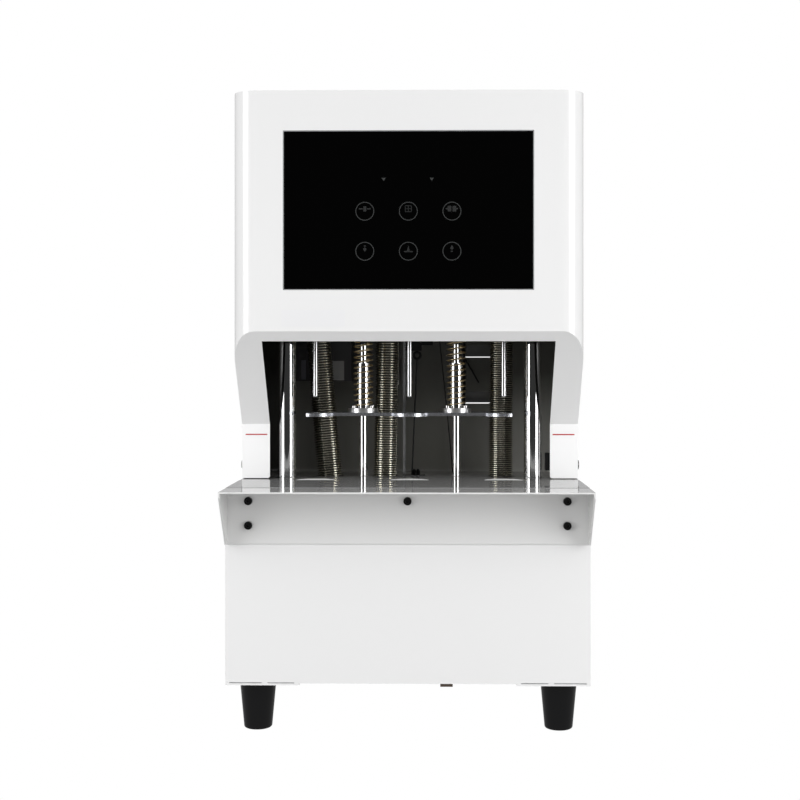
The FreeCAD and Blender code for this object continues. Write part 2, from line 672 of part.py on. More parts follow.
def shelf_screws():
    screws = []
    seat = BASE_FRONT - SHELF_SHEET
    for x, z in shelf_screw_places():
        head = rod_back(x, seat - SHELF_SCREW_HEAD, seat, z, SHELF_SCREW_HEAD_R)
        rim = [edge for edge in head.Edges
               if len(edge.Vertexes) == 1 and edge.CenterOfMass.y < seat - SHELF_SCREW_HEAD + 0.5]
        head = head.makeFillet(SHELF_SCREW_ROUNDING, rim)
        shank = rod_back(x, seat - 1, seat + SHELF_SCREW_LENGTH, z, SHELF_SCREW_R)
        key = hexagon(x, z, 0, HEX_KEY_DEPTH + 1, HEX_KEY_AF)
        key.rotate(V(x, z, 0), RIGHT, -90)
        key.translate(V(0, seat - SHELF_SCREW_HEAD - 1 - z, z))
        screws.append(fuse([head, shank]).cut(key))
    return group(screws)


# Frame inside the machine
def columns():
    pieces = []
    for side in SIDES:
        x = side * COLUMN_SPREAD
        low = DECK_BOTTOM - COLUMN_NUT_HEIGHT - STUD_END
        high = TOP_PLATE_TOP + COLUMN_NUT_HEIGHT + STUD_END
        pieces.append(fuse([rod(x, COLUMN_LINE, DECK_TOP, TOP_PLATE_HEIGHT, COLUMN_R),
                            rod(x, COLUMN_LINE, low, high, COLUMN_STUD_R)]))
    return group(pieces)


def guide_rods():
    pieces = []
    for side in SIDES:
        x = side * ROD_SPREAD
        low = DECK_BOTTOM - ROD_NUT_HEIGHT - STUD_END
        high = TOP_PLATE_TOP + ROD_NUT_HEIGHT + STUD_END
        pieces.append(fuse([rod(x, COLUMN_LINE, DECK_TOP, TOP_PLATE_HEIGHT, ROD_R),
                            rod(x, COLUMN_LINE, low, high, ROD_STUD_R)]))
    return group(pieces)


def frame_fasteners():
    """The nuts of the columns and guide rods, and the strip's two small screws with their nuts."""
    sizes = ((COLUMN_SPREAD, COLUMN_NUT_AF, COLUMN_NUT_HEIGHT, COLUMN_STUD_R),
             (ROD_SPREAD, ROD_NUT_AF, ROD_NUT_HEIGHT, ROD_STUD_R))
    nuts = []
    for spread, flats, height, hole in sizes:
        for side in SIDES:
            for z in (DECK_BOTTOM - height, TOP_PLATE_TOP):
                nut = hexagon(side * spread, COLUMN_LINE, z, z + height, flats)
                nuts.append(nut.cut(rod(side * spread, COLUMN_LINE, z - 1, z + height + 1, hole)))
    return group(nuts + strip_screws())


def head_top_plate():
    half = CARRIAGE_WIDTH / 2
    plate = box(-half, half, DRILL_LINE - TOP_PLATE_AHEAD, SCREW_Y + TOP_PLATE_BEHIND_SCREW,
                TOP_PLATE_HEIGHT, TOP_PLATE_TOP)
    tools = [rod(SCREW_X, SCREW_Y, TOP_PLATE_HEIGHT - 1, TOP_PLATE_TOP + 1, SCREW_JOURNAL_R + RUNNING_FIT)]
    for side in SIDES:
        tools.append(rod(side * COLUMN_SPREAD, COLUMN_LINE, TOP_PLATE_HEIGHT - 1, TOP_PLATE_TOP + 1,
                         COLUMN_STUD_R))
        tools.append(rod(side * ROD_SPREAD, COLUMN_LINE, TOP_PLATE_HEIGHT - 1, TOP_PLATE_TOP + 1,
                         ROD_STUD_R))
    return cut(plate, tools)


# Lift
def lift_screw():
    return fuse([rod(SCREW_X, SCREW_Y, SCREW_TIP_HEIGHT, TOP_PLATE_HEIGHT - TURNING_GAP, SCREW_R),
                 rod(SCREW_X, SCREW_Y, SCREW_TIP_HEIGHT, TOP_PLATE_TOP + SCREW_JOURNAL_RISE,
                     SCREW_JOURNAL_R)])


def lift_nut():
    low = CARRIAGE_HEIGHT - NUT_DROP
    body = rod(SCREW_X, SCREW_Y, low, CARRIAGE_TOP + NUT_FLANGE, NUT_R)
    flange = rod(SCREW_X, SCREW_Y, CARRIAGE_TOP, CARRIAGE_TOP + NUT_FLANGE, NUT_FLANGE_R)
    bore = rod(SCREW_X, SCREW_Y, low - 1, CARRIAGE_TOP + NUT_FLANGE + 1, SCREW_R + RUNNING_FIT)
    return fuse([body, flange]).cut(bore)


def lift_motor():
    half = GEARBOX_SIDE / 2
    z = TOP_PLATE_TOP
    gearbox = box(SCREW_X - half, SCREW_X + half, SCREW_Y - half, SCREW_Y + half, z, z + GEARBOX_HEIGHT)
    upright = [edge for edge in gearbox.Edges if abs(edge.tangentAt(edge.FirstParameter).z) > 0.9]
    gearbox = gearbox.makeFillet(GEARBOX_CORNER_R, upright)
    axis_z = z + GEARBOX_HEIGHT / 2
    motor = rod_right(SCREW_X + half - 1, SCREW_X + half + LIFT_MOTOR_LENGTH, SCREW_Y, axis_z, LIFT_MOTOR_R)
    bore = rod(SCREW_X, SCREW_Y, z - 1, z + SCREW_JOURNAL_RISE + TURNING_GAP, SCREW_JOURNAL_R + RUNNING_FIT)
    return fuse([gearbox, motor]).cut(bore)


# Carriage
def carriage_plate():
    half = CARRIAGE_WIDTH / 2
    z0, z1 = CARRIAGE_HEIGHT, CARRIAGE_TOP
    left, right = SCREW_X - TONGUE_LEFT_REACH, SCREW_X + TONGUE_RIGHT_REACH
    plate = fuse([box(-half, half, CARRIAGE_FRONT, CARRIAGE_REAR, z0, z1),
                  box(left, right, CARRIAGE_REAR - PAST, TONGUE_REAR, z0, z1)])
    window = box(left + TONGUE_ARM, right - TONGUE_ARM, CARRIAGE_REAR, TONGUE_REAR - TONGUE_CROSSBAR,
                 z0 - 1, z1 + 1)
    tools = [window, rod(SCREW_X, SCREW_Y, z0 - 1, z1 + 1, NUT_R),
             rod(MOTOR_X, MOTOR_Y, z0 - 1, z1 + 1, MOTOR_SHAFT_R * 2)]
    for side in SIDES:
        tools.append(rod(side * COLUMN_SPREAD, COLUMN_LINE, z0 - 1, z1 + 1, COLUMN_BEARING_R))
        tools.append(rod(side * ROD_SPREAD, COLUMN_LINE, z0 - 1, z1 + 1, ROD_R + ROD_PASSAGE))
        corner = sorted((side * (half + PAST), side * (half - CARRIAGE_NOTCH_WIDTH)))
        tools.append(box(corner[0], corner[1], CARRIAGE_FRONT - PAST, CARRIAGE_FRONT + CARRIAGE_NOTCH_DEPTH,
                         z0 - 1, z1 + 1))
    for x in HOLE_X.values():
        tools.append(rod(x, DRILL_LINE, z0 - 1, z1 + 1, HOUSING_PASSAGE_R))
    return cut(plate, tools)


def spindle_plate():
    half = SPINDLE_PLATE_WIDTH / 2
    z0, z1 = SPINDLE_PLATE_HEIGHT, SPINDLE_PLATE_TOP
    plate = box(-half, half, DRILL_LINE - SPINDLE_PLATE_AHEAD, COLUMN_LINE + SPINDLE_PLATE_BEHIND_COLUMNS,
                z0, z1)
    tools = [rod(MOTOR_X, MOTOR_Y, z0 - 1, z1 + 1, MOTOR_SHAFT_R + RUNNING_FIT)]
    for side in SIDES:
        tools.append(rod(side * ROD_SPREAD, COLUMN_LINE, z0 - 1, z1 + 1, ROD_R + ROD_PASSAGE))
    for x in HOLE_X.values():
        tools.append(rod(x, DRILL_LINE, z0 - 1, z1 + 1, SPINDLE_JOURNAL_R + RUNNING_FIT))
    return cut(plate, tools)


def carriage_posts():
    return group([rod(side * POST_SPREAD, y, CARRIAGE_TOP, SPINDLE_PLATE_HEIGHT, POST_R)
                  for side in SIDES for y in (DRILL_LINE - POST_AHEAD, COLUMN_LINE + POST_BEHIND_COLUMNS)])


def column_bearings():
    pieces = []
    for side in SIDES:
        x = side * COLUMN_SPREAD
        low = CARRIAGE_HEIGHT - COLUMN_BEARING_FLANGE
        body = rod(x, COLUMN_LINE, low, low + COLUMN_BEARING_LENGTH, COLUMN_BEARING_R)
        flange = rod(x, COLUMN_LINE, low, CARRIAGE_HEIGHT, COLUMN_BEARING_FLANGE_R)
        bore = rod(x, COLUMN_LINE, low - 1, low + COLUMN_BEARING_LENGTH + 1, COLUMN_R + RUNNING_FIT)
        pieces.append(fuse([body, flange]).cut(bore))
    return group(pieces)


def spindle_housings():
    top = CARRIAGE_TOP + HOUSING_HEIGHT
    return group([tube(x, DRILL_LINE, CARRIAGE_TOP, top, HOUSING_R, SPINDLE_R + RUNNING_FIT)
                  for x in HOLE_X.values()])


def pulley(x, y, low):
    """A belt pulley with a rim above and below its belt."""
    return [rod(x, y, low - PULLEY_RIM, low + BELT_WIDTH + PULLEY_RIM, PULLEY_R),
            rod(x, y, low - PULLEY_RIM, low - TURNING_GAP, PULLEY_RIM_R),
            rod(x, y, low + BELT_WIDTH + TURNING_GAP, low + BELT_WIDTH + PULLEY_RIM, PULLEY_RIM_R)]


def spindle(side):
    x = HOLE_X[side]
    levels = {"left": [BELT_HIGH], "centre": [BELT_LOW, BELT_HIGH], "right": [BELT_HIGH]}[side]
    pieces = [rod(x, DRILL_LINE, SPINDLE_NOSE_BOTTOM, SPINDLE_NOSE_TOP, SPINDLE_NOSE_R),
              rod(x, DRILL_LINE, SPINDLE_NOSE_TOP - 1, SPINDLE_PLATE_HEIGHT - TURNING_GAP, SPINDLE_R),
              rod(x, DRILL_LINE, SPINDLE_NOSE_TOP, SPINDLE_PLATE_TOP - TURNING_GAP, SPINDLE_JOURNAL_R)]
    for low in levels:
        pieces += pulley(x, DRILL_LINE, low)
    shank = rod(x, DRILL_LINE, SPINDLE_NOSE_BOTTOM - 1, SPINDLE_NOSE_BOTTOM + DRILL_SHANK_LENGTH,
                DRILL_SHANK_R)
    bore = rod(x, DRILL_LINE, SPINDLE_NOSE_BOTTOM, SPINDLE_PLATE_TOP, SPINDLE_BORE_R)
    return cut(fuse(pieces), [shank, bore])


def drill(side):
    x = HOLE_X[side]
    top = SPINDLE_NOSE_BOTTOM + DRILL_SHANK_LENGTH
    wall = DRILL_R - DRILL_BORE_R
    body = fuse([rod(x, DRILL_LINE, DRILL_TIP_HEIGHT + DRILL_BEVEL, top, DRILL_R),
                 rod(x, DRILL_LINE, SPINDLE_NOSE_BOTTOM, top, DRILL_SHANK_R),
                 Part.makeCone(DRILL_R - wall / 2, DRILL_R, DRILL_BEVEL,
                               V(x, DRILL_LINE, DRILL_TIP_HEIGHT), UP)])
    return body.cut(rod(x, DRILL_LINE, DRILL_TIP_HEIGHT - 1, top + 1, DRILL_BORE_R))


def spindle_motor():
    top = CARRIAGE_TOP + MOTOR_HEIGHT
    body = rod(MOTOR_X, MOTOR_Y, CARRIAGE_TOP, top, MOTOR_R)
    bore = rod(MOTOR_X, MOTOR_Y, top - MOTOR_SHAFT_DEPTH - TURNING_GAP, top + 1, MOTOR_SHAFT_R + RUNNING_FIT)
    return body.cut(bore)


def motor_pulley():
    low = CARRIAGE_TOP + MOTOR_HEIGHT - MOTOR_SHAFT_DEPTH
    shaft = rod(MOTOR_X, MOTOR_Y, low, SPINDLE_PLATE_TOP, MOTOR_SHAFT_R)
    return fuse([shaft] + pulley(MOTOR_X, MOTOR_Y, BELT_LOW) + pulley(MOTOR_X, MOTOR_Y, BELT_HIGH))


def belt(start, end, low):
    """A closed belt round two equal pulleys, a turning gap clear of them."""
    inner = PULLEY_R + TURNING_GAP
    outer = inner + BELT_THICKNESS
    a, b = V(start[0], start[1], low), V(end[0], end[1], low)
    along = b - a
    turn = math.degrees(math.atan2(along.y, along.x))
    loops = []
    for r in (outer, inner):
        run = Part.makeBox(along.Length, 2 * r, BELT_WIDTH, V(0, -r, 0))
        run.rotate(V(0, 0, 0), UP, turn)
        run.translate(a)
        ends = [rod(p.x, p.y, low, low + BELT_WIDTH, r) for p in (a, b)]
        loops.append(fuse([run] + ends))
    return loops[0].cut(loops[1])


def drive_belts():
    motor = (MOTOR_X, MOTOR_Y)
    left, centre, right = [(HOLE_X[side], DRILL_LINE) for side in ("left", "centre", "right")]
    return group([belt(motor, left, BELT_HIGH), belt(motor, centre, BELT_LOW),
                  belt(centre, right, BELT_HIGH)])


# Press plate
def press_plate():
    half = PRESS_WIDTH / 2
    z0, z1 = PRESS_HEIGHT, PRESS_TOP
    bar = box(-half, half, PRESS_FRONT, PRESS_REAR, z0, z1)
    lobes = [rod(x, DRILL_LINE, z0, z1, PRESS_LOBE_R) for x in HOLE_X.values()]
    plate = fuse([bar] + lobes).common(box(-half, half, 0, BASE_BACK, z0, z1))
    tools = [rod(x, DRILL_LINE, z0 - 1, z1 + 1, PRESS_HOLE_R) for x in HOLE_X.values()]
    tools += [rod(side * ROD_SPREAD, COLUMN_LINE, z0 - 1, z1 + 1, ROD_R + ROD_PASSAGE) for side in SIDES]
    tools += [rod(x, y, z0 - 1, z1 + 1, BEARING_SCREW_R) for x, y in bearing_screw_places()]
    tools += [rod_back(x, DRILL_LINE - PRESS_LOBE_R - 1, DRILL_LINE, (z0 + z1) / 2, PRESS_GRUB_R)
              for x in HOLE_X.values()]
    return cut(plate, tools)


def bearing_screw_places():
    diagonal = BEARING_SCREW_CIRCLE_R / math.sqrt(2)
    return [(side * ROD_SPREAD + dx * diagonal, COLUMN_LINE + dy * diagonal)
            for side in SIDES for dx in SIDES for dy in SIDES]


def press_bearings():
    pieces = []
    holes = [rod(x, y, PRESS_TOP - 1, PRESS_TOP + BEARING_FLANGE + 1, BEARING_SCREW_R)
             for x, y in bearing_screw_places()]
    for side in SIDES:
        x = side * ROD_SPREAD
        flange = rod(x, COLUMN_LINE, PRESS_TOP, PRESS_TOP + BEARING_FLANGE, BEARING_FLANGE_R)
        top_rim = [edge for edge in flange.Edges
                   if len(edge.Vertexes) == 1 and edge.CenterOfMass.z > PRESS_TOP + BEARING_FLANGE - 0.1]
        flange = flange.makeChamfer(BEARING_CHAMFER, top_rim)
        body = rod(x, COLUMN_LINE, PRESS_TOP, PRESS_TOP + BEARING_LENGTH, BEARING_R)
        bore = rod(x, COLUMN_LINE, PRESS_TOP - 1, PRESS_TOP + BEARING_LENGTH + 1, ROD_R + RUNNING_FIT)
        pieces.append(cut(fuse([flange, body]), [bore] + holes))
    return group(pieces)


def press_screws():
    screws = []
    seat = PRESS_TOP + BEARING_FLANGE
    for x, y in bearing_screw_places():
        head = rod(x, y, seat, seat + BEARING_SCREW_HEAD, BEARING_SCREW_HEAD_R)
        shank = rod(x, y, PRESS_HEIGHT, seat + 1, BEARING_SCREW_R)
        slot = box(x - 3, x + 3, y - SLOT_WIDTH / 2, y + SLOT_WIDTH / 2,
                   seat + BEARING_SCREW_HEAD - SLOT_DEPTH, seat + BEARING_SCREW_HEAD + 1)
        screws.append(fuse([head, shank]).cut(slot))
    return group(screws)


# Wound and ribbed pieces
def arc_between(start, tangent_corner, end):
    """The arc from start to end whose end tangents meet at tangent_corner."""
    middle = (start + end) * 0.5
    to_corner = tangent_corner - middle
    rise = to_corner.Length
    half_chord = (end - start).Length / 2
    tangent_length = (tangent_corner - start).Length
    radius = tangent_length * half_chord / rise
    sagitta = radius - math.sqrt(radius * radius - half_chord * half_chord)
    return Part.Arc(start, middle + to_corner * (sagitta / rise), end).toShape()


def biarc(p0, t0, p1, t1):
    """Two arcs from p0 to p1 that share a tangent where they meet."""
    v = p1 - p0
    t = t0 + t1
    turning = 2 * (1 - t0.dot(t1))
    d = (-v.dot(t) + math.sqrt(v.dot(t) ** 2 + turning * v.dot(v))) / turning
    q0 = p0 + t0 * d
    q1 = p1 - t1 * d
    joint = (q0 + q1) * 0.5
    return [arc_between(p0, q0, joint), arc_between(joint, q1, p1)]


def coil(x, y, low, high):
    """A compression spring: a helix in biarcs of half a turn, its ends turned upright into their seats."""
    end_run = 2 * SPRING_WIRE_R
    bend = 2 * SPRING_WIRE_R
    climb = (high - low) - 2 * (end_run + bend)
    slope = climb / (math.pi * SPRING_HALF_TURNS)
    steps = SPRING_HALF_TURNS

    def helix(k):
        angle = k * math.pi
        c, s = math.cos(angle), math.sin(angle)
        point = V(x + SPRING_R * c, y + SPRING_R * s, low + end_run + bend + slope * angle)
        tangent = V(-SPRING_R * s, SPRING_R * c, slope)
        return point, tangent / tangent.Length

    first, first_tangent = helix(0)
    last, last_tangent = helix(steps)
    foot = V(first.x, first.y - bend, low + end_run)
    head = V(last.x, last.y + bend * math.cos(steps * math.pi), high - end_run)
    edges = [Part.LineSegment(V(foot.x, foot.y, low), foot).toShape()]
    edges += biarc(foot, UP, first, first_tangent)
    for k in range(steps):
        p0, t0 = helix(k)
        p1, t1 = helix(k + 1)
        edges += biarc(p0, t0, p1, t1)
    edges += biarc(last, last_tangent, head, UP)
    edges.append(Part.LineSegment(head, V(head.x, head.y, high)).toShape())
    path = Part.Wire(edges)
    section = Part.Wire(Part.makeCircle(SPRING_WIRE_R, V(foot.x, foot.y, low), UP))
    shell = Part.BRepOffsetAPI.MakePipeShell(path)
    shell.add(section)
    shell.build()
    shell.makeSolid()
    return shell.shape(), least_gap([edge.discretize(5) for edge in edges], 2 * SPRING_WIRE_R)


def least_gap(runs, diameter):
    """The least distance between turns of one tube, from points along its middle."""
    points = [p for run in runs for p in run]
    apart = 20
    least = min((a - b).Length for i, a in enumerate(points) for b in points[i + apart:])
    return least - diameter


def press_springs():
    low = PRESS_TOP + BEARING_FLANGE
    springs = []
    for side in SIDES:
        spring, gap = coil(side * ROD_SPREAD, COLUMN_LINE, low, CARRIAGE_HEIGHT)
        print("spring: least gap between turns", round(gap, 2), "volume", round(spring.Volume, 1))
        springs.append(spring)
    return group(springs)


def hose_middle(side, z):
    """A point on the middle of a hose, and its direction there; its ends are upright."""
    low = HOSE_BOTTOM_HEIGHT + 2 * HOSE_R
    high = HOSE_TOP_HEIGHT - 2 * HOSE_R
    drift = HOSE_TOP_X[side] - HOSE_BOTTOM_X[side]
    t = min(max((z - low) / (high - low), 0.0), 1.0)
    x = HOSE_BOTTOM_X[side] + drift * t * t * (3 - 2 * t)
    lean = drift * 6 * t * (1 - t) / (high - low)
    direction = V(lean, 0, 1)
    return V(x, HOSE_LINE, z), direction / direction.Length


def hose_ring(side, z, r):
    point, direction = hose_middle(side, z)
    turn = FreeCAD.Rotation(RIGHT, V(0, 0, 0), direction, "ZXY")
    ring = Part.Wire(Part.makeCircle(r))
    ring.Placement = FreeCAD.Placement(point, turn)
    return ring


def chip_hose(side):
    """A wire-reinforced hose: each rib is two crests between two valleys."""
    length = HOSE_TOP_HEIGHT - HOSE_BOTTOM_HEIGHT
    pitch = length / HOSE_RIBS[side]
    rings = []
    for k in range(HOSE_RIBS[side]):
        z = HOSE_BOTTOM_HEIGHT + k * pitch
        rings.append(hose_ring(side, z, HOSE_VALLEY_R))
        rings.append(hose_ring(side, z + 0.25 * pitch, HOSE_R))
        rings.append(hose_ring(side, z + 0.55 * pitch, HOSE_R))
        rings.append(hose_ring(side, z + 0.80 * pitch, HOSE_VALLEY_R))
    rings.append(hose_ring(side, HOSE_TOP_HEIGHT, HOSE_VALLEY_R))
    outside = Part.makeLoft(rings, True, True)
    bore_steps = 16
    bore_rings = [hose_ring(side, HOSE_BOTTOM_HEIGHT + k * length / bore_steps, HOSE_BORE_R)
                  for k in range(bore_steps + 1)]
    hose = outside.cut(Part.makeLoft(bore_rings, True, True))
    print("hose", side, "rib pitch", round(pitch, 2), "volume", round(hose.Volume, 1))
    return hose


def hose_collars():
    pieces = []
    for x in HOSE_BOTTOM_X.values():
        flange = rod(x, HOSE_LINE, DECK_TOP, HOSE_BOTTOM_HEIGHT, COLLAR_R)
        spigot = rod(x, HOSE_LINE, DECK_BOTTOM - COLLAR_SPIGOT_DROP, DECK_TOP + 1, HOSE_R)
        bore = rod(x, HOSE_LINE, DECK_BOTTOM - COLLAR_SPIGOT_DROP - 1, 1, HOSE_BORE_R)
        pieces.append(fuse([flange, spigot]).cut(bore))
    return group(pieces)


def elbow_path(side):
    """Up from the spindle, back over the plate and down to the top of the hose."""
    start = V(HOLE_X[side], DRILL_LINE, SPINDLE_PLATE_TOP)
    end = V(HOSE_TOP_X[side], HOSE_LINE, HOSE_TOP_HEIGHT + ELBOW_FLANGE)
    over = V(end.x - start.x, end.y - start.y, 0)
    over = over / over.Length
    b = ELBOW_BEND_R
    rise = start.z + ELBOW_RISE
    half = math.sqrt(0.5)
    lifted = V(start.x, start.y, rise)
    turned = lifted + over * b + UP * b
    lowered = V(end.x, end.y, rise)
    back = lowered - over * b + UP * b
    first = Part.Arc(lifted, lifted + over * b * (1 - half) + UP * b * half, turned).toShape()
    second = Part.Arc(back, lowered - over * b * (1 - half) + UP * b * half, lowered).toShape()
    runs = [Part.LineSegment(start, lifted).toShape(), first, Part.LineSegment(turned, back).toShape(),
            second, Part.LineSegment(lowered, end).toShape()]
    return Part.Wire(runs)


def pipe(path, start, r):
    section = Part.Wire(Part.makeCircle(r, start, UP))
    return path.makePipeShell([section], True, False)


def chip_elbows():
    elbows = []
    for side in HOLE_X:
        path = elbow_path(side)
        start = V(HOLE_X[side], DRILL_LINE, SPINDLE_PLATE_TOP)
        flange = rod(start.x, start.y, start.z, start.z + ELBOW_FOOT, ELBOW_FOOT_R)
        hose_seat = rod(HOSE_TOP_X[side], HOSE_LINE, HOSE_TOP_HEIGHT, HOSE_TOP_HEIGHT + ELBOW_FLANGE,
                        ELBOW_FLANGE_R)
        outside = fuse([pipe(path, start, ELBOW_R), flange, hose_seat])
        ends = [rod(start.x, start.y, start.z - 1, start.z + 1, ELBOW_BORE_R),
                rod(HOSE_TOP_X[side], HOSE_LINE, HOSE_TOP_HEIGHT - 1, HOSE_TOP_HEIGHT + ELBOW_FLANGE + 1,
                    ELBOW_BORE_R)]
        elbows.append(cut(outside, [pipe(path, start, ELBOW_BORE_R)] + ends))
    return group(elbows)


# Covers
def head_plan(inset, z0, z1):
    """The head's plan with its two rounded front corners, drawn in by inset."""
    half = HEAD_WIDTH / 2 - inset
    front = FACE_Y + inset
    r = HEAD_CORNER_R - inset
    k = r * (1 - math.sqrt(0.5))
    back = BASE_INNER_BACK + (1 if inset else 0)
    a, b = V(-half, back, z0), V(-half, front + r, z0)
    c, d = V(-half + r, front, z0), V(half - r, front, z0)
    e, f = V(half, front + r, z0), V(half, back, z0)
    edges = [Part.LineSegment(a, b), Part.Arc(b, V(-half + k, front + k, z0), c), Part.LineSegment(c, d),
             Part.Arc(d, V(half - k, front + k, z0), e), Part.LineSegment(e, f), Part.LineSegment(f, a)]
    return Part.Face(Part.Wire([edge.toShape() for edge in edges])).extrude(V(0, 0, z1 - z0))


def throat_front(inset):
    """What is taken from the head's lower front: everything ahead of the sloping chin and the legs."""
    run = LEG_Y - FACE_Y
    fall = CHIN_HEIGHT - BEND_HEIGHT
    slant = math.hypot(run, fall)
    shift = inset * slant / run
    side = (slant - fall) / run * inset
    ahead = FACE_Y - HEAD_CORNER_R
    outline = [(ahead, CHIN_HEIGHT + shift + HEAD_CORNER_R * fall / run),
               (LEG_Y + inset, BEND_HEIGHT + side), (LEG_Y + inset, -BEND_HEIGHT), (ahead, -BEND_HEIGHT)]
    return prism_x(outline, -HEAD_WIDTH, HEAD_WIDTH)


def head_cover():
    outer = head_plan(0, LEG_BOTTOM, HEAD_HEIGHT).cut(throat_front(0))
    inner = head_plan(SHEET, LEG_BOTTOM - 1, HEAD_HEIGHT - SHEET).cut(throat_front(SHEET))
    shell = outer.cut(inner)
    half = THROAT_WIDTH / 2
    opening = box(-half, half, FACE_Y - 1, LEG_Y + SHEET + 1, LEG_BOTTOM - 1, THROAT_HEIGHT)
    shell = shell.cut(opening)
    corner_tools = []
    for side in SIDES:
        edge = sorted((side * half, side * (half + LEG_CORNER_R)))
        block = box(edge[0], edge[1], LEG_Y - 1, LEG_Y + SHEET + 0.5, LEG_BOTTOM - 1,
                    LEG_BOTTOM + LEG_CORNER_R)
        keep = rod_back(side * (half + LEG_CORNER_R), LEG_Y - 2, LEG_Y + SHEET + 2,
                        LEG_BOTTOM + LEG_CORNER_R, LEG_CORNER_R)
        corner_tools.append(block.cut(keep))
        corner_tools.append(rod_right(side * HEAD_WIDTH / 2 - 5, side * HEAD_WIDTH / 2 + 5, LEG_SCREW_Y,
                                      LEG_SCREW_HEIGHT, COVER_SCREW_R))
    width = PANEL_WIDTH / 2 + PANEL_GAP
    window = box(-width, width, FACE_Y - 1, FACE_Y + SHEET + 1, PANEL_BOTTOM - PANEL_GAP,
                 PANEL_BOTTOM + PANEL_HEIGHT + PANEL_GAP)
    shell = cut(shell, corner_tools + [window])
    inner_half = HEAD_WIDTH / 2 - SHEET
    flanges = [box(-inner_half, inner_half, BASE_INNER_BACK - SHEET, BASE_INNER_BACK,
                   HEAD_HEIGHT - SHEET - FLANGE, HEAD_HEIGHT - SHEET)]
    for side in SIDES:
        edge = sorted((side * inner_half, side * (inner_half - FLANGE)))
        flanges.append(box(edge[0], edge[1], BASE_INNER_BACK - SHEET, BASE_INNER_BACK, LEG_BOTTOM,
                           HEAD_HEIGHT - SHEET))
    shell = fuse([shell] + flanges)
    return cut(shell, [rod_back(x, BASE_INNER_BACK - 5, BASE_BACK + 5, z, COVER_SCREW_R)
                       for x, z in rear_screw_places()])


def rear_screw_places():
    x = HEAD_WIDTH / 2 - SHEET - FLANGE / 2
    heights = [REAR_SCREW_LOW + k * REAR_SCREW_PITCH for k in range(3)]
    return [(side * x, z) for side in SIDES for z in heights + [HEAD_HEIGHT - REAR_SCREW_TOP_MARGIN]]


def louvre_heights():
    return [LOUVRE_FIRST + k * LOUVRE_PITCH for k in range(LOUVRE_COUNT)]


def head_rear_cover():
    half = HEAD_WIDTH / 2
    panel = box(-half, half, BASE_INNER_BACK, BASE_BACK, DECK_TOP + REAR_SLIT_RISE, HEAD_HEIGHT)
    right = LOUVRE_LEFT + LOUVRE_WIDTH
    s = LOUVRE_SHEET
    for z in louvre_heights():
        opening = box(LOUVRE_LEFT, right, BASE_INNER_BACK - 1, BASE_BACK + 1, z, z + LOUVRE_HEIGHT)
        hood = prism_x([(BASE_INNER_BACK, z + LOUVRE_HEIGHT + s), (BASE_BACK, z + LOUVRE_HEIGHT + s),
                        (BASE_BACK + LOUVRE_DEPTH, z + LOUVRE_SLIT), (BASE_INNER_BACK, z + LOUVRE_SLIT)],
                       LOUVRE_LEFT - s, right + s)
        hollow = prism_x([(BASE_INNER_BACK - 1, z + LOUVRE_HEIGHT), (BASE_BACK, z + LOUVRE_HEIGHT),
                          (BASE_BACK + LOUVRE_DEPTH - s, z + LOUVRE_SLIT - 0.1),
                          (BASE_INNER_BACK - 1, z + LOUVRE_SLIT - 0.1)], LOUVRE_LEFT, right)
        panel = panel.fuse(hood).cut(opening.common(hollow)).cut(hollow)
        panel = panel.cut(box(LOUVRE_LEFT, right, BASE_INNER_BACK - 1, BASE_BACK + 1, z, z + LOUVRE_SLIT))
    panel = cut(panel, [rod_back(x, BASE_INNER_BACK - 5, BASE_BACK + 5, z, COVER_SCREW_R)
                        for x, z in rear_screw_places()])
    return panel.removeSplitter()


def throat_liner():
    """A dark folded sheet behind the throat: a back with two windows at the louvres, and two sides."""
    half = HEAD_WIDTH / 2 - SHEET
    front = LEG_Y + SHEET
    outer = box(-half, half, front, LINER_Y + SHEET, DECK_TOP, LINER_HEIGHT)
    inner = box(-half + SHEET, half - SHEET, front - 1, LINER_Y, DECK_TOP - 1, LINER_HEIGHT + 1)
    liner = outer.cut(inner)
    slit = DECK_TOP + REAR_SLIT_RISE
    tools = [box(-half - PAST, half + PAST, front - PAST, TABLE_WIDE_REAR + TURNING_GAP, DECK_TOP - PAST,
                 LEG_BOTTOM),
             box(-half + SHEET, half - SHEET, LINER_Y - PAST, LINER_Y + SHEET + PAST, slit, slit + REAR_SLIT)]
    for z in louvre_heights():
        if z + LOUVRE_HEIGHT < LINER_HEIGHT:
            tools.append(box(LOUVRE_LEFT, LOUVRE_LEFT + LOUVRE_WIDTH, LINER_Y - 1, LINER_Y + SHEET + 1,
                             z, z + LOUVRE_HEIGHT))
    for side in SIDES:
        tools.append(rod_right(side * half - LEG_SCREW_LENGTH, side * half + LEG_SCREW_LENGTH, LEG_SCREW_Y,
                               LEG_SCREW_HEIGHT, COVER_SCREW_R))
    tools.append(rod_back(HARNESS_X, LINER_Y - 1, LINER_Y + SHEET + 1, HARNESS_BOTTOM, HARNESS_R))
    return cut(liner, tools)


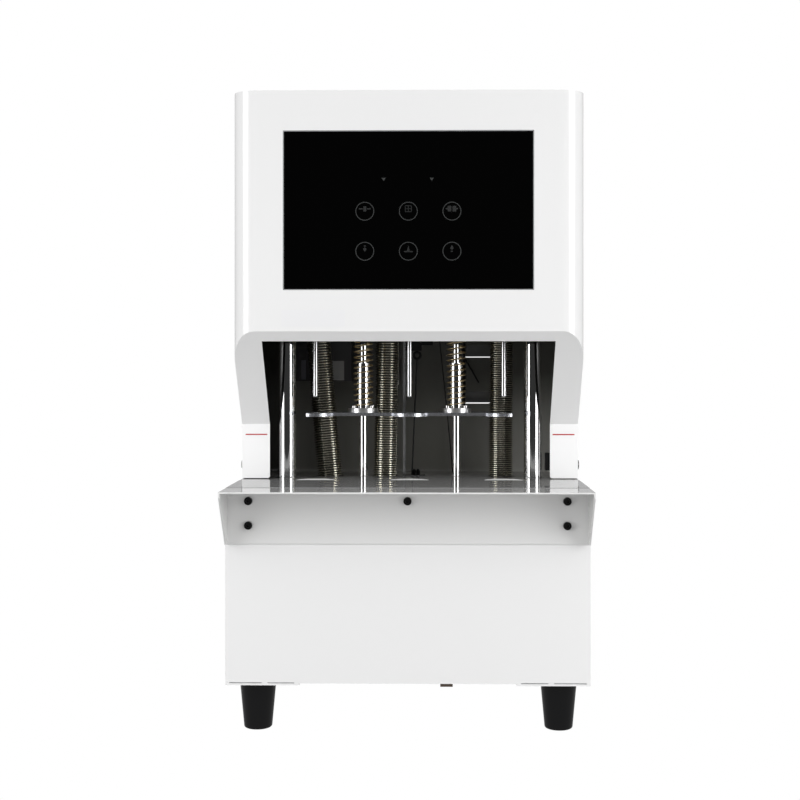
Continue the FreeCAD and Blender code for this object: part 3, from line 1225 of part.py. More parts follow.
def cover_screws():
    screws = []
    for side in SIDES:
        face = HEAD_WIDTH / 2
        head = rod_right(face, face + LEG_SCREW_HEAD, LEG_SCREW_Y, LEG_SCREW_HEIGHT, LEG_SCREW_HEAD_R)
        rim = [edge for edge in head.Edges
               if len(edge.Vertexes) == 1 and edge.CenterOfMass.x > face + LEG_SCREW_HEAD - 0.1]
        head = head.makeFillet(LEG_SCREW_HEAD * 0.7, rim)
        shank = rod_right(face - LEG_SCREW_LENGTH, face + 0.5, LEG_SCREW_Y, LEG_SCREW_HEIGHT, COVER_SCREW_R)
        screw = fuse([head, shank])
        screws.append(screw if side > 0 else screw.mirror(V(0, 0, 0), RIGHT))
    places = rear_screw_places() + base_rear_screw_places()
    for x, z in places:
        top = BASE_BACK + COVER_SCREW_HEAD
        head = rod_back(x, BASE_BACK, top, z, COVER_SCREW_HEAD_R)
        shank = rod_back(x, BASE_BACK - COVER_SCREW_LENGTH, BASE_BACK + 0.5, z, COVER_SCREW_R)
        slot = box(x - COVER_SCREW_HEAD_R, x + COVER_SCREW_HEAD_R, top - COVER_SCREW_SLOT_DEPTH, top + PAST,
                   z - COVER_SCREW_SLOT / 2, z + COVER_SCREW_SLOT / 2)
        screws.append(fuse([head, shank]).cut(slot))
    return group(screws)


def touch_panel():
    half = PANEL_WIDTH / 2
    top = PANEL_BOTTOM + PANEL_HEIGHT
    glass = box(-half, half, FACE_Y + PANEL_RECESS, FACE_Y + SHEET + 1, PANEL_BOTTOM, top)
    upright = [edge for edge in glass.Edges if abs(edge.tangentAt(edge.FirstParameter).y) > 0.9]
    glass = glass.makeFillet(PANEL_CORNER_R, upright)
    back = box(-half - PANEL_RIM, half + PANEL_RIM, FACE_Y + SHEET, FACE_Y + SHEET + PANEL_DEPTH,
               PANEL_BOTTOM - PANEL_RIM, top + PANEL_RIM)
    return fuse([glass, back])


# Sensor strip, switches and wires
def strip_bolt_places():
    y = STRIP_Y + STRIP_WIDTH / 2
    return [(STRIP_BOLT_X + side * STRIP_BOLT_PITCH / 2, y) for side in SIDES]


def sensor_bracket():
    x0, t = STRIP_X, STRIP_THICKNESS
    y0, y1 = STRIP_Y, STRIP_Y + STRIP_WIDTH
    upright = box(x0, x0 + t, y0, y1, DECK_TOP, STRIP_HEIGHT)
    foot = box(x0, x0 + STRIP_FOOT, y0, y1, DECK_TOP, DECK_TOP + t)
    strip = fuse([upright, foot])
    bend = [edge for edge in strip.Edges
            if abs(edge.tangentAt(edge.FirstParameter).y) > 0.9 and edge.CenterOfMass.z < DECK_TOP + t + 0.1
            and edge.CenterOfMass.x < x0 + 0.1]
    strip = strip.makeFillet(STRIP_BEND_R, bend)
    return cut(strip, [rod(x, y, DECK_TOP - 1, DECK_TOP + t + 1, STRIP_BOLT_R)
                       for x, y in strip_bolt_places()])


def strip_screws():
    seat = DECK_TOP + STRIP_THICKNESS
    top = seat + STRIP_NUT_HEIGHT
    pieces = []
    for x, y in strip_bolt_places():
        pieces.append(fuse([rod(x, y, DECK_BOTTOM, top + 1, STRIP_BOLT_R),
                            rod(x, y, DECK_BOTTOM - STRIP_HEAD_HEIGHT, DECK_BOTTOM, STRIP_NUT_AF / 2)]))
        nut = hexagon(x, y, seat, top, STRIP_NUT_AF)
        pieces.append(nut.cut(rod(x, y, seat - 1, top + 1, STRIP_BOLT_R)))
    return pieces


def limit_switches():
    left = STRIP_X + STRIP_THICKNESS
    top = SWITCH_BOTTOM + SWITCH_HEIGHT
    right = left + SWITCH_WIDTH
    body = box(left, right, STRIP_Y, STRIP_Y + STRIP_WIDTH, SWITCH_BOTTOM, top)
    bar = box(right, right + SWITCH_BAR, STRIP_Y + SWITCH_BAR_INSET, STRIP_Y + STRIP_WIDTH - SWITCH_BAR_INSET,
              SWITCH_BOTTOM + SWITCH_BAR_RISE, top)
    leg_x = HEAD_WIDTH / 2 - 2 * SHEET
    arm = box(THROAT_WIDTH / 2 - LEG_SENSOR_WIDTH, leg_x, LEG_Y + SHEET, LEG_Y + SHEET + LEG_SENSOR_ARM,
              LEG_SENSOR_BOTTOM + LEG_SENSOR_ARM, LEG_SENSOR_BOTTOM + LEG_SENSOR_HEIGHT - LEG_SENSOR_ARM)
    block = box(THROAT_WIDTH / 2 - LEG_SENSOR_WIDTH, THROAT_WIDTH / 2 + LEG_SENSOR_OVERLAP, LEG_Y + SHEET,
                LEG_Y + SHEET + LEG_SENSOR_DEPTH, LEG_SENSOR_BOTTOM, LEG_SENSOR_BOTTOM + LEG_SENSOR_HEIGHT)
    return group([fuse([body, bar]), fuse([block, arm])])


def sensor_cable():
    """A thin taut cable from an eye under the switch down to the deck, behind the strip."""
    eye_z = SWITCH_BOTTOM - RING_R - RING_WIRE_R
    top = V(CABLE_TOP_X, CABLE_Y, eye_z - RING_R)
    bottom = V(CABLE_BOTTOM_X, CABLE_Y, DECK_TOP)
    run = top - bottom
    start = bottom - run / run.Length * CABLE_R
    cable = Part.makeCylinder(CABLE_R, run.Length + CABLE_R, start, run)
    cable = cable.common(box(-BASE_WIDTH, BASE_WIDTH, 0, BASE_BACK, DECK_TOP, eye_z))
    eye = Part.makeTorus(RING_R, RING_WIRE_R, V(CABLE_TOP_X, CABLE_Y, eye_z), BACK)
    return fuse([cable, eye])


def harness_y():
    return LINER_Y - HARNESS_R - HARNESS_GAP


def black_lead():
    """Down the back of the throat, then out through its hole in the liner."""
    y = harness_y()
    r = 2 * HARNESS_R
    k = r * (1 - math.sqrt(0.5))
    start = V(HARNESS_X, y, LINER_HEIGHT)
    drop_end = V(HARNESS_X, y, HARNESS_BOTTOM + r)
    back = V(HARNESS_X, y + r, HARNESS_BOTTOM)
    bend = Part.Arc(drop_end, V(HARNESS_X, y + k, HARNESS_BOTTOM + k), back).toShape()
    path = Part.Wire([Part.LineSegment(start, drop_end).toShape(), bend,
                      Part.LineSegment(back, V(HARNESS_X, LINER_Y + SHEET, HARNESS_BOTTOM)).toShape()])
    section = Part.Wire(Part.makeCircle(HARNESS_R, start, UP))
    return path.makePipeShell([section], True, False)


def thin_wire():
    """One slack wire from the top of the liner to the deck, in a shallow arc."""
    start = V(WIRE_TOP_X, LINER_Y - WIRE_TOP_AHEAD, LINER_HEIGHT)
    end = V(WIRE_FOOT_X, LINER_Y - WIRE_FOOT_AHEAD, DECK_TOP)
    middle = (start + end) * 0.5 + V(WIRE_SAG, WIRE_SAG, 0)
    arc = Part.Arc(start, middle, end)
    section = Part.Wire(Part.makeCircle(WIRE_R, start, arc.tangent(arc.FirstParameter)[0]))
    wire = Part.Wire([arc.toShape()]).makePipeShell([section], True, False)
    return wire.common(box(-BASE_WIDTH, BASE_WIDTH, 0, BASE_BACK, DECK_TOP, LINER_HEIGHT + 1))


def wire_harness():
    return group([black_lead(), thin_wire()])


def cable_tie():
    """A tie round the black lead, with its long tail left on."""
    y = harness_y()
    outer = HARNESS_R + TIE_TAIL_R
    band = tube(HARNESS_X, y, TIE_RISE, TIE_RISE + TIE_BAND, outer, HARNESS_R)
    lock = box(HARNESS_X - TIE_BAND / 2, HARNESS_X + TIE_BAND / 2, y - outer - TIE_BAND / 2,
               y - outer + TIE_TAIL_R / 2, TIE_RISE - TIE_TAIL_R, TIE_RISE + TIE_BAND + TIE_TAIL_R)
    root = V(HARNESS_X + TIE_TAIL_R, y - outer - TIE_TAIL_R, TIE_RISE + TIE_BAND / 2)
    tail = Part.makeCylinder(TIE_TAIL_R, TIE_TAIL.Length, root, TIE_TAIL)
    return fuse([band, lock, tail])


def supply_box():
    right = SUPPLY_LEFT + SUPPLY_WIDTH
    case = box(SUPPLY_LEFT, right, SUPPLY_Y, LINER_Y, SUPPLY_BOTTOM, SUPPLY_BOTTOM + SUPPLY_HEIGHT)
    upright = [edge for edge in case.Edges
               if abs(edge.tangentAt(edge.FirstParameter).z) > 0.9 and edge.CenterOfMass.y < SUPPLY_Y + 1]
    return case.makeFillet(SUPPLY_CORNER_R, upright)


# Drawer and electrics
def chip_drawer():
    half = DRAWER_WIDTH / 2
    z0, z1 = DRAWER_BOTTOM, DRAWER_TOP
    s = DRAWER_SHEET
    tray = box(-half, half, DRAWER_FRONT, BASE_INNER_BACK, z0, z1)
    tray = tray.cut(box(-half + s, half - s, DRAWER_FRONT + s, BASE_INNER_BACK - s, z0 + s, z1 + 1))
    m = DRAWER_PANEL_MARGIN
    panel = box(-half - m, half + m, BASE_INNER_BACK, BASE_BACK, z0 - m, z1 + m)
    lip = box(-half - m, half + m, BASE_BACK, BASE_BACK + DRAWER_LIP, z1 + m - SHEET, z1 + m)
    return fuse([tray, panel, lip])


def drawer_rails():
    floor = DRAWER_BOTTOM - TURNING_GAP
    rails = []
    back = BASE_INNER_BACK - SHEET
    for side in SIDES:
        inner = DRAWER_WIDTH / 2 + TURNING_GAP
        web = box(inner, inner + SHEET, DRAWER_FRONT, back, floor - SHEET, DECK_BOTTOM)
        foot = box(inner - RAIL_FLANGE, inner + SHEET, DRAWER_FRONT, back, floor - SHEET, floor)
        rail = fuse([web, foot])
        rails.append(rail if side > 0 else rail.mirror(V(0, 0, 0), RIGHT))
    return group(rails)


def inlet_cut():
    half_w, half_h = INLET_WIDTH / 2, INLET_HEIGHT / 2
    return box(INLET_X - half_w, INLET_X + half_w, BASE_INNER_BACK - 5, BASE_BACK + 5, INLET_Z - half_h,
               INLET_Z + half_h)


def base_rear_screw_places():
    x = BASE_WIDTH / 2 - SHEET - FLANGE / 2
    return [(side * x, z) for side in SIDES for z in (-REAR_SCREW_TOP, REAR_SCREW_INSET - BASE_HEIGHT)]


def base_rear_panel():
    half = BASE_WIDTH / 2
    panel = box(-half, half, BASE_INNER_BACK, BASE_BACK, HOUSING_BOTTOM, DECK_TOP)
    room = DRAWER_PANEL_MARGIN + DRAWER_PANEL_GAP
    reach = DRAWER_WIDTH / 2 + room
    tools = [box(-reach, reach, BASE_INNER_BACK - 1, BASE_BACK + 1, DRAWER_BOTTOM - room, DRAWER_TOP + room),
             inlet_cut()]
    for k in range(GRILLE_SLOTS):
        x = GRILLE_INSET - half + GRILLE_PITCH * k
        tools.append(box(x, x + GRILLE_WIDTH, BASE_INNER_BACK - 1, BASE_BACK + 1, GRILLE_RISE - BASE_HEIGHT,
                         GRILLE_RISE - BASE_HEIGHT + GRILLE_HEIGHT))
    tools += [rod_back(x, BASE_INNER_BACK - 5, BASE_BACK + 5, z, COVER_SCREW_R)
              for x, z in base_rear_screw_places()]
    return cut(panel, tools)


def rocker_axis():
    return BASE_BACK - ROCKER_AXIS_DEPTH, INLET_Z + ROCKER_RISE


def power_inlet():
    half_w, half_h = INLET_WIDTH / 2, INLET_HEIGHT / 2
    body = box(INLET_X - half_w, INLET_X + half_w, BASE_BACK - INLET_DEPTH, BASE_BACK, INLET_Z - half_h,
               INLET_Z + half_h)
    face = BASE_BACK + INLET_RIM
    rim = box(INLET_X - half_w - INLET_RIM_WIDTH, INLET_X + half_w + INLET_RIM_WIDTH, BASE_BACK, face,
              INLET_Z - half_h - INLET_RIM_WIDTH, INLET_Z + half_h + INLET_RIM_WIDTH)
    socket_z = INLET_Z - SOCKET_DROP
    socket = box(INLET_X - SOCKET_WIDTH / 2, INLET_X + SOCKET_WIDTH / 2, face - SOCKET_DEPTH, face + 1,
                 socket_z - SOCKET_HEIGHT / 2, socket_z + SOCKET_HEIGHT / 2)
    axis_y, axis_z = rocker_axis()
    well_r = ROCKER_R + TURNING_GAP
    well_half = ROCKER_WIDTH / 2 + TURNING_GAP
    well = rod_right(INLET_X - well_half, INLET_X + well_half, axis_y, axis_z, well_r)
    mouth = box(INLET_X - well_half, INLET_X + well_half, axis_y, face + 1, axis_z - well_r, axis_z + well_r)
    inlet = cut(fuse([body, rim]), [socket, well, mouth])
    pins = []
    for dx, dz in ((-PIN_SPREAD, -PIN_STAGGER), (PIN_SPREAD, -PIN_STAGGER), (0.0, PIN_STAGGER)):
        x, z = INLET_X + dx, socket_z + dz
        pins.append(box(x - PIN_WIDTH / 2, x + PIN_WIDTH / 2, face - SOCKET_DEPTH - 1,
                        face - SOCKET_DEPTH + PIN_REACH, z - PIN_HEIGHT / 2, z + PIN_HEIGHT / 2))
    return fuse([inlet] + pins)


def power_rocker():
    """A rocker on its cross axis: a drum with two facets that meet in a shallow valley."""
    axis_y, axis_z = rocker_axis()
    half = ROCKER_WIDTH / 2
    drum = rod_right(INLET_X - half, INLET_X + half, axis_y, axis_z, ROCKER_R)
    valley = BASE_BACK + INLET_RIM + ROCKER_VALLEY_PROUD - axis_y
    rise = ROCKER_R * math.tan(math.radians(ROCKER_TILT))
    top = 2 * ROCKER_R
    outline = [(axis_y + valley, axis_z), (axis_y + valley + rise, axis_z + ROCKER_R),
               (axis_y + top, axis_z + ROCKER_R), (axis_y + top, axis_z - ROCKER_R),
               (axis_y + valley + rise, axis_z - ROCKER_R)]
    rocker = drum.cut(prism_x(outline, INLET_X - half - 1, INLET_X + half + 1))
    rocker.rotate(V(INLET_X, axis_y, axis_z), RIGHT, ROCKER_TILT)
    return rocker


def board_block(corner, size):
    """One component standing on the board, sunk a little into it."""
    sink = BOARD_SHEET / 2
    return box(corner.x, corner.x + size.x, corner.y, corner.y + size.y, corner.z - sink, corner.z + size.z)


def control_board():
    z = HOUSING_BOTTOM + SHEET
    x0, y0 = BOARD_INSET - BASE_WIDTH / 2, BASE_FRONT + BOARD_SETBACK
    x1, y1 = x0 + BOARD_WIDTH, y0 + BOARD_DEPTH
    top = z + BOARD_LIFT + BOARD_SHEET
    i = BOARD_POST_INSET
    pieces = [box(x0, x1, y0, y1, z + BOARD_LIFT, top)]
    for x in (x0 + i, x1 - i):
        for y in (y0 + i, y1 - i):
            pieces.append(rod(x, y, z, z + BOARD_LIFT + BOARD_SHEET / 2, BOARD_POST_R))
    pieces.append(board_block(V(x0 + 2 * i, y0 + 3 * i, top), BOARD_TRANSFORMER))
    pieces.append(board_block(V(x0 + BOARD_WIDTH / 2, y1 - i - BOARD_RELAY.y, top), BOARD_RELAY))
    pieces.append(board_block(V(x1 - 2 * i - BOARD_CONNECTOR.x, y0 + i, top), BOARD_CONNECTOR))
    for k in range(3):
        pieces.append(rod(x1 - BOARD_CAN_PITCH, y0 + BOARD_CAN_PITCH * (k + 1.5), top - BOARD_SHEET / 2,
                          top + BOARD_CAN_HEIGHT, BOARD_CAN_R))
    return fuse(pieces)


def build():
    os.makedirs("parts", exist_ok=True)
    plain = [base_housing, foot_plates, base_bottom_plate, rubber_feet, foot_screws, bottom_plug,
             base_deck, table_plate, front_shelf, shelf_screws, columns, guide_rods, frame_fasteners,
             head_top_plate, lift_screw, lift_nut, lift_motor, carriage_plate, spindle_plate,
             carriage_posts, column_bearings, spindle_housings, spindle_motor, motor_pulley, drive_belts,
             press_plate, press_bearings, press_screws, press_springs, hose_collars, chip_elbows,
             head_cover, head_rear_cover, throat_liner, cover_screws, touch_panel, sensor_bracket,
             limit_switches, sensor_cable, wire_harness, cable_tie, supply_box, chip_drawer, drawer_rails,
             base_rear_panel, power_inlet, power_rocker, control_board]
    for make in plain:
        export(make.__name__, make())
    for side in HOLE_X:
        export("drill_pad_" + side, drill_pad(side))
        export("spindle_" + side, spindle(side))
        export("drill_" + side, drill(side))
        export("chip_hose_" + side, chip_hose(side))


build()
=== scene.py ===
"""Looks of the desk paper drill: finishes, printed marks, springs and hoses, lights and camera."""
import json
import math

import bpy
from mathutils import Matrix, Vector

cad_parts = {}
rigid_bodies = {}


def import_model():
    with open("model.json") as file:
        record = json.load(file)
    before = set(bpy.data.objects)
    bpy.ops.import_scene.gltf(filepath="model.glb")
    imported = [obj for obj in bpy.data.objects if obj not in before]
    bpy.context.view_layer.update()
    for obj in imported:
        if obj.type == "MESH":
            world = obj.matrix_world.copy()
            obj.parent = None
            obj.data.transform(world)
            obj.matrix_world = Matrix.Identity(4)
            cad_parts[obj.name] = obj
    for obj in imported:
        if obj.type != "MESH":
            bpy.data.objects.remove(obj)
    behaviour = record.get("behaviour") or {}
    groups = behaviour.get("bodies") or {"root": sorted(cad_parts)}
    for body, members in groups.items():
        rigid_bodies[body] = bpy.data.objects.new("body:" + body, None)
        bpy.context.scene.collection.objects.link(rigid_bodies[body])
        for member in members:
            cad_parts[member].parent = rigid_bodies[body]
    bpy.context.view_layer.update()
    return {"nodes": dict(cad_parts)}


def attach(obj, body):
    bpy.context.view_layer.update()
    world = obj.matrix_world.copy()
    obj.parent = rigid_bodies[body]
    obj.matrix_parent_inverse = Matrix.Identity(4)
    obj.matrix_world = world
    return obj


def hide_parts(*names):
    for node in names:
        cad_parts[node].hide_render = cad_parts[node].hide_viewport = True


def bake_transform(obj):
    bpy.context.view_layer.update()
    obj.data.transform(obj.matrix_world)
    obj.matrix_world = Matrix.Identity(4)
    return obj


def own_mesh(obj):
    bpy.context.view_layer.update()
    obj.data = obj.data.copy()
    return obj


MM = 0.001
HALF_DEPTH = 161.0
TABLE_HEIGHT = 256.5

# Camera: its place in millimetres from the table, what it sees from near to far in metres
CAMERA_X = 28.5
CAMERA_Y = -1280.0
CAMERA_Z = 121.6
CAMERA_YAW = 0.761
CAMERA_NEAR = 0.01
CAMERA_FAR = 50.0
LENS_MM = 57.6
SENSOR_MM = 36.0
SHIFT_X = -0.0225
SHIFT_Y = -0.03625
PICTURE_SIDE = 800

# Floor, half its side in metres, and its glow
FLOOR_HALF = 4.0
FLOOR_GLOW = 0.305

# Dome for diffuse light: it grows with how far a direction looks up
DOME_BASE = 0.02
DOME_UP = 1.32

# Room for reflections: dark in front, and paler from border to border along a direction's Y
ROOM_FRONT = 0.035
ROOM_SIDES = 0.38
ROOM_BACK = 0.55
ROOM_SIDES_FROM = -0.12
ROOM_SIDES_TO = 0.0
ROOM_BACK_FROM = 0.75
ROOM_BACK_TO = 0.9

# Two soft boxes and a low panel: radiances, sizes and distances in metres, turns in degrees
BOX_LEFT = 4.5
BOX_RIGHT = 5.2
BOX_DISTANCE = 1.7
BOX_WIDTH = 0.82
BOX_HEIGHT = 1.3
BOX_AZIMUTH = 57.0
BOX_ELEVATION = 10.0
LOW_PANEL = 1.15
LOW_PANEL_WIDTH = 1.6
LOW_PANEL_HEIGHT = 0.5
LOW_PANEL_DISTANCE = 1.3
LOW_PANEL_DROP = 9.0
LIGHTS_AIM = (0.0, 100.0, 120.0)

# Glass panel: its edge, and its keys with their signs
PANEL_BOTTOM = 208.6
PANEL_TOP = 378.6
PANEL_HALF = 133.9
PANEL_EDGE = 0.45
GLASS_Y = 88.4
KEY_R = 9.6
KEY_LINE = 0.85
KEY_SIDES = 72
KEY_COLUMNS = (-46.6, 0.0, 46.6)
KEY_ROWS = (292.5, 249.7)
KEY_SIGNS = (("stack", "window", "pair"), ("down", "eject", "up"))
POINTER_X = (-26.4, 25.0)
POINTER_TIP = 325.0
POINTER_HALF = 2.4
POINTER_RISE = 3.2
MARK_LIFT = 0.06
PRINT_DEPTH = 0.05

# Each sign, round its key's middle: filled outlines, and strokes as two ends and a width
SIGN_SHAPES = {
    "window": ([],
               [(-3.3, -0.6, 3.3, -0.6, 0.7), (-3.3, 2.6, 3.3, 2.6, 0.7), (-3.3, 5.8, 3.3, 5.8, 0.7),
                (-3.3, -0.6, -3.3, 5.8, 0.7), (0.0, -0.6, 0.0, 5.8, 0.7), (3.3, -0.6, 3.3, 5.8, 0.7)]),
    "stack": ([[(-1.6, -0.2), (1.6, -0.2), (1.6, 5.2), (-1.6, 5.2)]],
              [(-6.4, 2.6, -2.2, 2.6, 1.3), (2.2, 2.6, 6.4, 2.6, 1.3)]),
    "pair": ([[(-4.6, -0.4), (-0.7, -0.4), (-0.7, 5.6), (-4.6, 5.6)],
              [(0.7, -0.4), (4.6, -0.4), (4.6, 5.6), (0.7, 5.6)]],
             [(-6.6, 2.6, -4.6, 2.6, 1.6), (4.6, 2.6, 6.6, 2.6, 1.6)]),
    "down": ([[(0.0, -0.8), (2.0, 2.4), (0.0, 4.4), (-2.0, 2.4)]],
             [(-1.1, 5.6, 1.1, 5.6, 1.3)]),
    "up": ([[(0.0, 6.6), (-2.0, 3.2), (0.0, 1.2), (2.0, 3.2)]],
           [(-1.1, -0.2, 1.1, -0.2, 1.3)]),
    "eject": ([[(-1.6, 0.0), (1.6, 0.0), (0.0, 6.2)]],
              [(-4.6, -0.4, 4.6, -0.4, 1.3)]),
}

# Labels: left, right, bottom and top of each, the faces they are on and how far they stand out
FACE_LABEL = (-136.0, -68.0, 169.0, 187.0)
FACE_Y = 88.0
FACE_LABEL_DEPTH = 0.12
BOX_LABEL = (-93.5, -79.5, 110.5, 133.5)
BOX_MARK = (-130.5, -125.0, 111.5, 134.5)
SUPPLY_Y = 240.0
BOX_LABEL_DEPTH = 0.15
LEG_LABEL_INNER = 160.5
LEG_LABEL_OUTER = 186.0
LEG_LABEL_BOTTOM = 48.0
LEG_LABEL_TOP = 60.5
LEG_LINE_INSET = 0.5
LEG_LINE_BOTTOM = 49.3
LEG_LINE_TOP = 50.7
LEG_LINE_Y = 163.85
LEG_Y = 164.0

# White paint of the base and the head; the head's legs get a paler white at their foot, painted light for the
# light bounced up from the table
WHITE = (0.84, 0.84, 0.84)
BASE_WHITE = (0.85, 0.85, 0.85)
LEG_LIT_WHITE = (0.98, 0.98, 0.98)
LEG_WHITE_TO = 70.0
WHITE_FROM = 160.0
COAT_ROUGH = 0.14

# Inner faces of the head's shells, told by the point they look towards, with margins in metres; they are
# painted dark grey as painted shade for the dim light inside the head
INSIDE_SHADE_GREY = (0.10, 0.10, 0.10)
HEAD_MIDDLE = (0.0, 160.0, 300.0)
HEAD_MARGIN = 0.01
FAR_AHEAD = (0.0, -9000.0, 200.0)
REAR_MARGIN = 0.5

# Throat liner: painted light makes it paler towards the table and the right, and painted shade makes it
# almost black at its left end
WALL_TOP = (0.100, 0.099, 0.088)
WALL_LIT_BOTTOM = (0.210, 0.208, 0.186)
WALL_LIT_RIGHT = (0.560, 0.556, 0.525)
WALL_FADE = 120.0
WALL_RIGHT_FROM = 40.0
WALL_RIGHT_TO = 130.0
WALL_LEFT_END = -150.0
LEFT_WALL_SHADE = (0.035, 0.034, 0.030)

# Table and shelf; the shelf's top is darker, painted shade for the dark throat it reflects
TABLE_GREY = (0.27, 0.27, 0.27)
SHELF_WHITE = (0.76, 0.76, 0.755)
SHELF_TOP_SHADE = (0.46, 0.46, 0.46)
LOOKING_UP = 0.5

# Fasteners: plated, but black near the foot of the sensor strip
PLATED = (0.62, 0.61, 0.60)
STRIP_SCREWS = (0.0, 215.0, 0.0)
STRIP_SCREWS_R = 19.0
STRIP_SCREWS_BLACK = (0.02, 0.02, 0.02)

# Bearings, whose flange is rougher than the tube above it
FLANGE_TOP = 80.1
FLANGE_BORDER = 0.2
FLANGE_ROUGH = 0.28
TUBE_ROUGH = 0.04

# Finishes: colour, roughness, and what differs from plain plastic
GLOSS = {"coat": 1.0, "coat_rough": COAT_ROUGH}
METAL = {"metal": 1.0}
FINISHES = {
    "white_paint": (BASE_WHITE, 0.5, GLOSS),
    "head_paint": (WHITE, 0.5, GLOSS),
    "rear_paint": (WHITE, 0.5, GLOSS),
    "table_paint": (TABLE_GREY, 0.5, {"coat": 1.0, "coat_rough": 0.02, "specular": 0.0}),
    "shelf_paint": (SHELF_WHITE, 0.5, {"coat": 1.0, "coat_rough": 0.06, "specular": 0.0}),
    "deck_paint": ((0.62, 0.62, 0.61), 0.5, {"coat": 1.0, "coat_rough": 0.10}),
    "grey_paint": (WALL_TOP, 0.55, {"specular": 0.3}),
    "zinc_sheet": ((0.55, 0.56, 0.57), 0.35, METAL),
    "polished_steel": ((0.78, 0.78, 0.78), 0.06, METAL),
    "bearing_steel": ((0.78, 0.78, 0.78), 0.10, METAL),
    "ground_steel": ((0.52, 0.53, 0.56), 0.27, METAL),
    "satin_steel": ((0.58, 0.58, 0.585), 0.24, METAL),
    "plated_fasteners": (PLATED, 0.18, METAL),
    "mixed_fasteners": (PLATED, 0.30, METAL),
    "dark_fasteners": ((0.20, 0.20, 0.20), 0.16, METAL),
    "aluminium": ((0.70, 0.70, 0.71), 0.32, METAL),
    "brass": ((0.62, 0.45, 0.18), 0.25, METAL),
    "spring_gold": ((0.63, 0.50, 0.30), 0.32, METAL),
    "hose_wire": ((0.80, 0.77, 0.66), 0.12, METAL),
    "hose_olive": ((0.016, 0.015, 0.009), 0.35, {}),
    "pad_plastic": ((0.93, 0.93, 0.92), 0.75, {"specular": 0.1}),
    "black_rubber": ((0.003, 0.003, 0.0034), 0.17, {"specular": 0.4}),
    "black_fasteners": ((0.004, 0.004, 0.004), 0.30, {"specular": 0.3}),
    "motor_black": ((0.018, 0.018, 0.019), 0.45, {}),
    "panel_black": ((0.0004, 0.0004, 0.0004), 0.08, {"specular": 0.3}),
    "black_plastic": ((0.005, 0.005, 0.005), 0.40, {"specular": 0.25}),
    "brown_fibre": ((0.10, 0.07, 0.05), 0.70, {}),
    "board_green": ((0.03, 0.13, 0.06), 0.40, {}),
    "mark_grey": ((0.032, 0.034, 0.034), 0.5, {}),
    "mark_dim": ((0.015, 0.016, 0.016), 0.5, {}),
    "mark_red": ((0.50, 0.045, 0.04), 0.5, {}),
    "label_white": ((0.80, 0.80, 0.81), 0.35, {}),
    "leg_label": ((0.94, 0.94, 0.94), 0.5, {}),
    "label_grey": ((0.17, 0.17, 0.165), 0.5, {}),
    "label_dim": ((0.10, 0.10, 0.12), 0.5, {}),
    # A painted highlight along the glass panel's edge
    "glass_edge_highlight": ((0.45, 0.46, 0.47), 0.2, {}),
}

# Fine relief: scale, strength, distance and stretch of its noise
RELIEF_DETAIL = 3.0
RELIEF = {
    "white_paint": (900.0, 0.05, 0.0004, (1.0, 1.0, 1.0)),
    "head_paint": (900.0, 0.05, 0.0004, (1.0, 1.0, 1.0)),
    "rear_paint": (900.0, 0.05, 0.0004, (1.0, 1.0, 1.0)),
    "black_rubber": (700.0, 0.04, 0.0001, (1.0, 1.0, 1.0)),
    "ground_steel": (800.0, 0.5, 0.0004, (1.0, 1.0, 0.25)),
    "satin_steel": (350.0, 0.08, 0.0003, (1.0, 0.1, 1.0)),
}

# Roughness of the columns and rods, which wanders with noise stretched along them
STREAK_SCALE = 60.0
STREAK_DETAIL = 4.0
STREAK_STRETCH = (1.0, 1.0, 0.1)
STREAK_NOISE = (0.3, 0.7)
STREAK_ROUGH = (0.015, 0.05)

# Springs, from the bearings' flanges up to the carriage
SPRING_X = 52.5
ROD_LINE = 167.0
SPRING_LOW = FLANGE_TOP
SPRING_HIGH = 215.0
SPRING_R = 10.5
SPRING_WIRE_R = 0.7
SPRING_WIRE_SIDES = 10
STEPS_PER_TURN = 40
SPRING_PITCH = {"left": 6.074, "right": 6.254}
SPRING_START = {"left": 88.9, "right": 43.4}

# Hoses, from the deck up to the elbows, with a wire turn at each rib
HOSE_LINE = 216.0
HOSE_BOTTOM = -1.2
HOSE_TOP = 302.0
HOSE_R = {"left": 14.7, "centre": 14.1, "right": 14.2}
HOSE_SKIN_DEPTH = 1.3
HOSE_WIRE_R = 0.5
HOSE_WIRE_SPREAD = 1.15
HOSE_SIDES = 64
HOSE_LEAN = {"left": 0.18, "centre": 0.55, "right": 0.0}
HOSE_STRETCH_HEIGHT = 160.0
HOSE_ENDS = {"left": (-93.8, -118.0), "centre": (-29.4, -25.6), "right": (105.1, 106.5)}
HOSE_PITCHES = {"left": (2.74, 3.10), "centre": (2.64, 3.07), "right": (2.41, 2.59)}


def at(x, y, z):
    """A point given in millimetres from the table's middle, as the frame has it."""
    return Vector((x * MM, (y - HALF_DEPTH) * MM, (z + TABLE_HEIGHT) * MM))


# Materials
def shader_of(material):
    return material.node_tree.nodes["Principled BSDF"]


def new_material(name):
    material = bpy.data.materials.new(name)
    material.use_nodes = True
    return material


def finish_of(name, colour, rough, metal=0.0, coat=0.0, coat_rough=0.03, specular=0.5):
    material = new_material(name)
    shader = shader_of(material)
    shader.inputs["Base Color"].default_value = (*colour, 1.0)
    shader.inputs["Roughness"].default_value = rough
    shader.inputs["Metallic"].default_value = metal
    shader.inputs["Coat Weight"].default_value = coat
    shader.inputs["Coat Roughness"].default_value = coat_rough
    shader.inputs["Specular IOR Level"].default_value = specular
    return material


def combine(tree, operation, a, b):
    """A sum, product or other result of two values or sockets."""
    node = tree.nodes.new("ShaderNodeMath")
    node.operation = operation
    for socket, value in zip(node.inputs, (a, b)):
        if isinstance(value, (int, float)):
            socket.default_value = value
        else:
            tree.links.new(value, socket)
    return node.outputs["Value"]


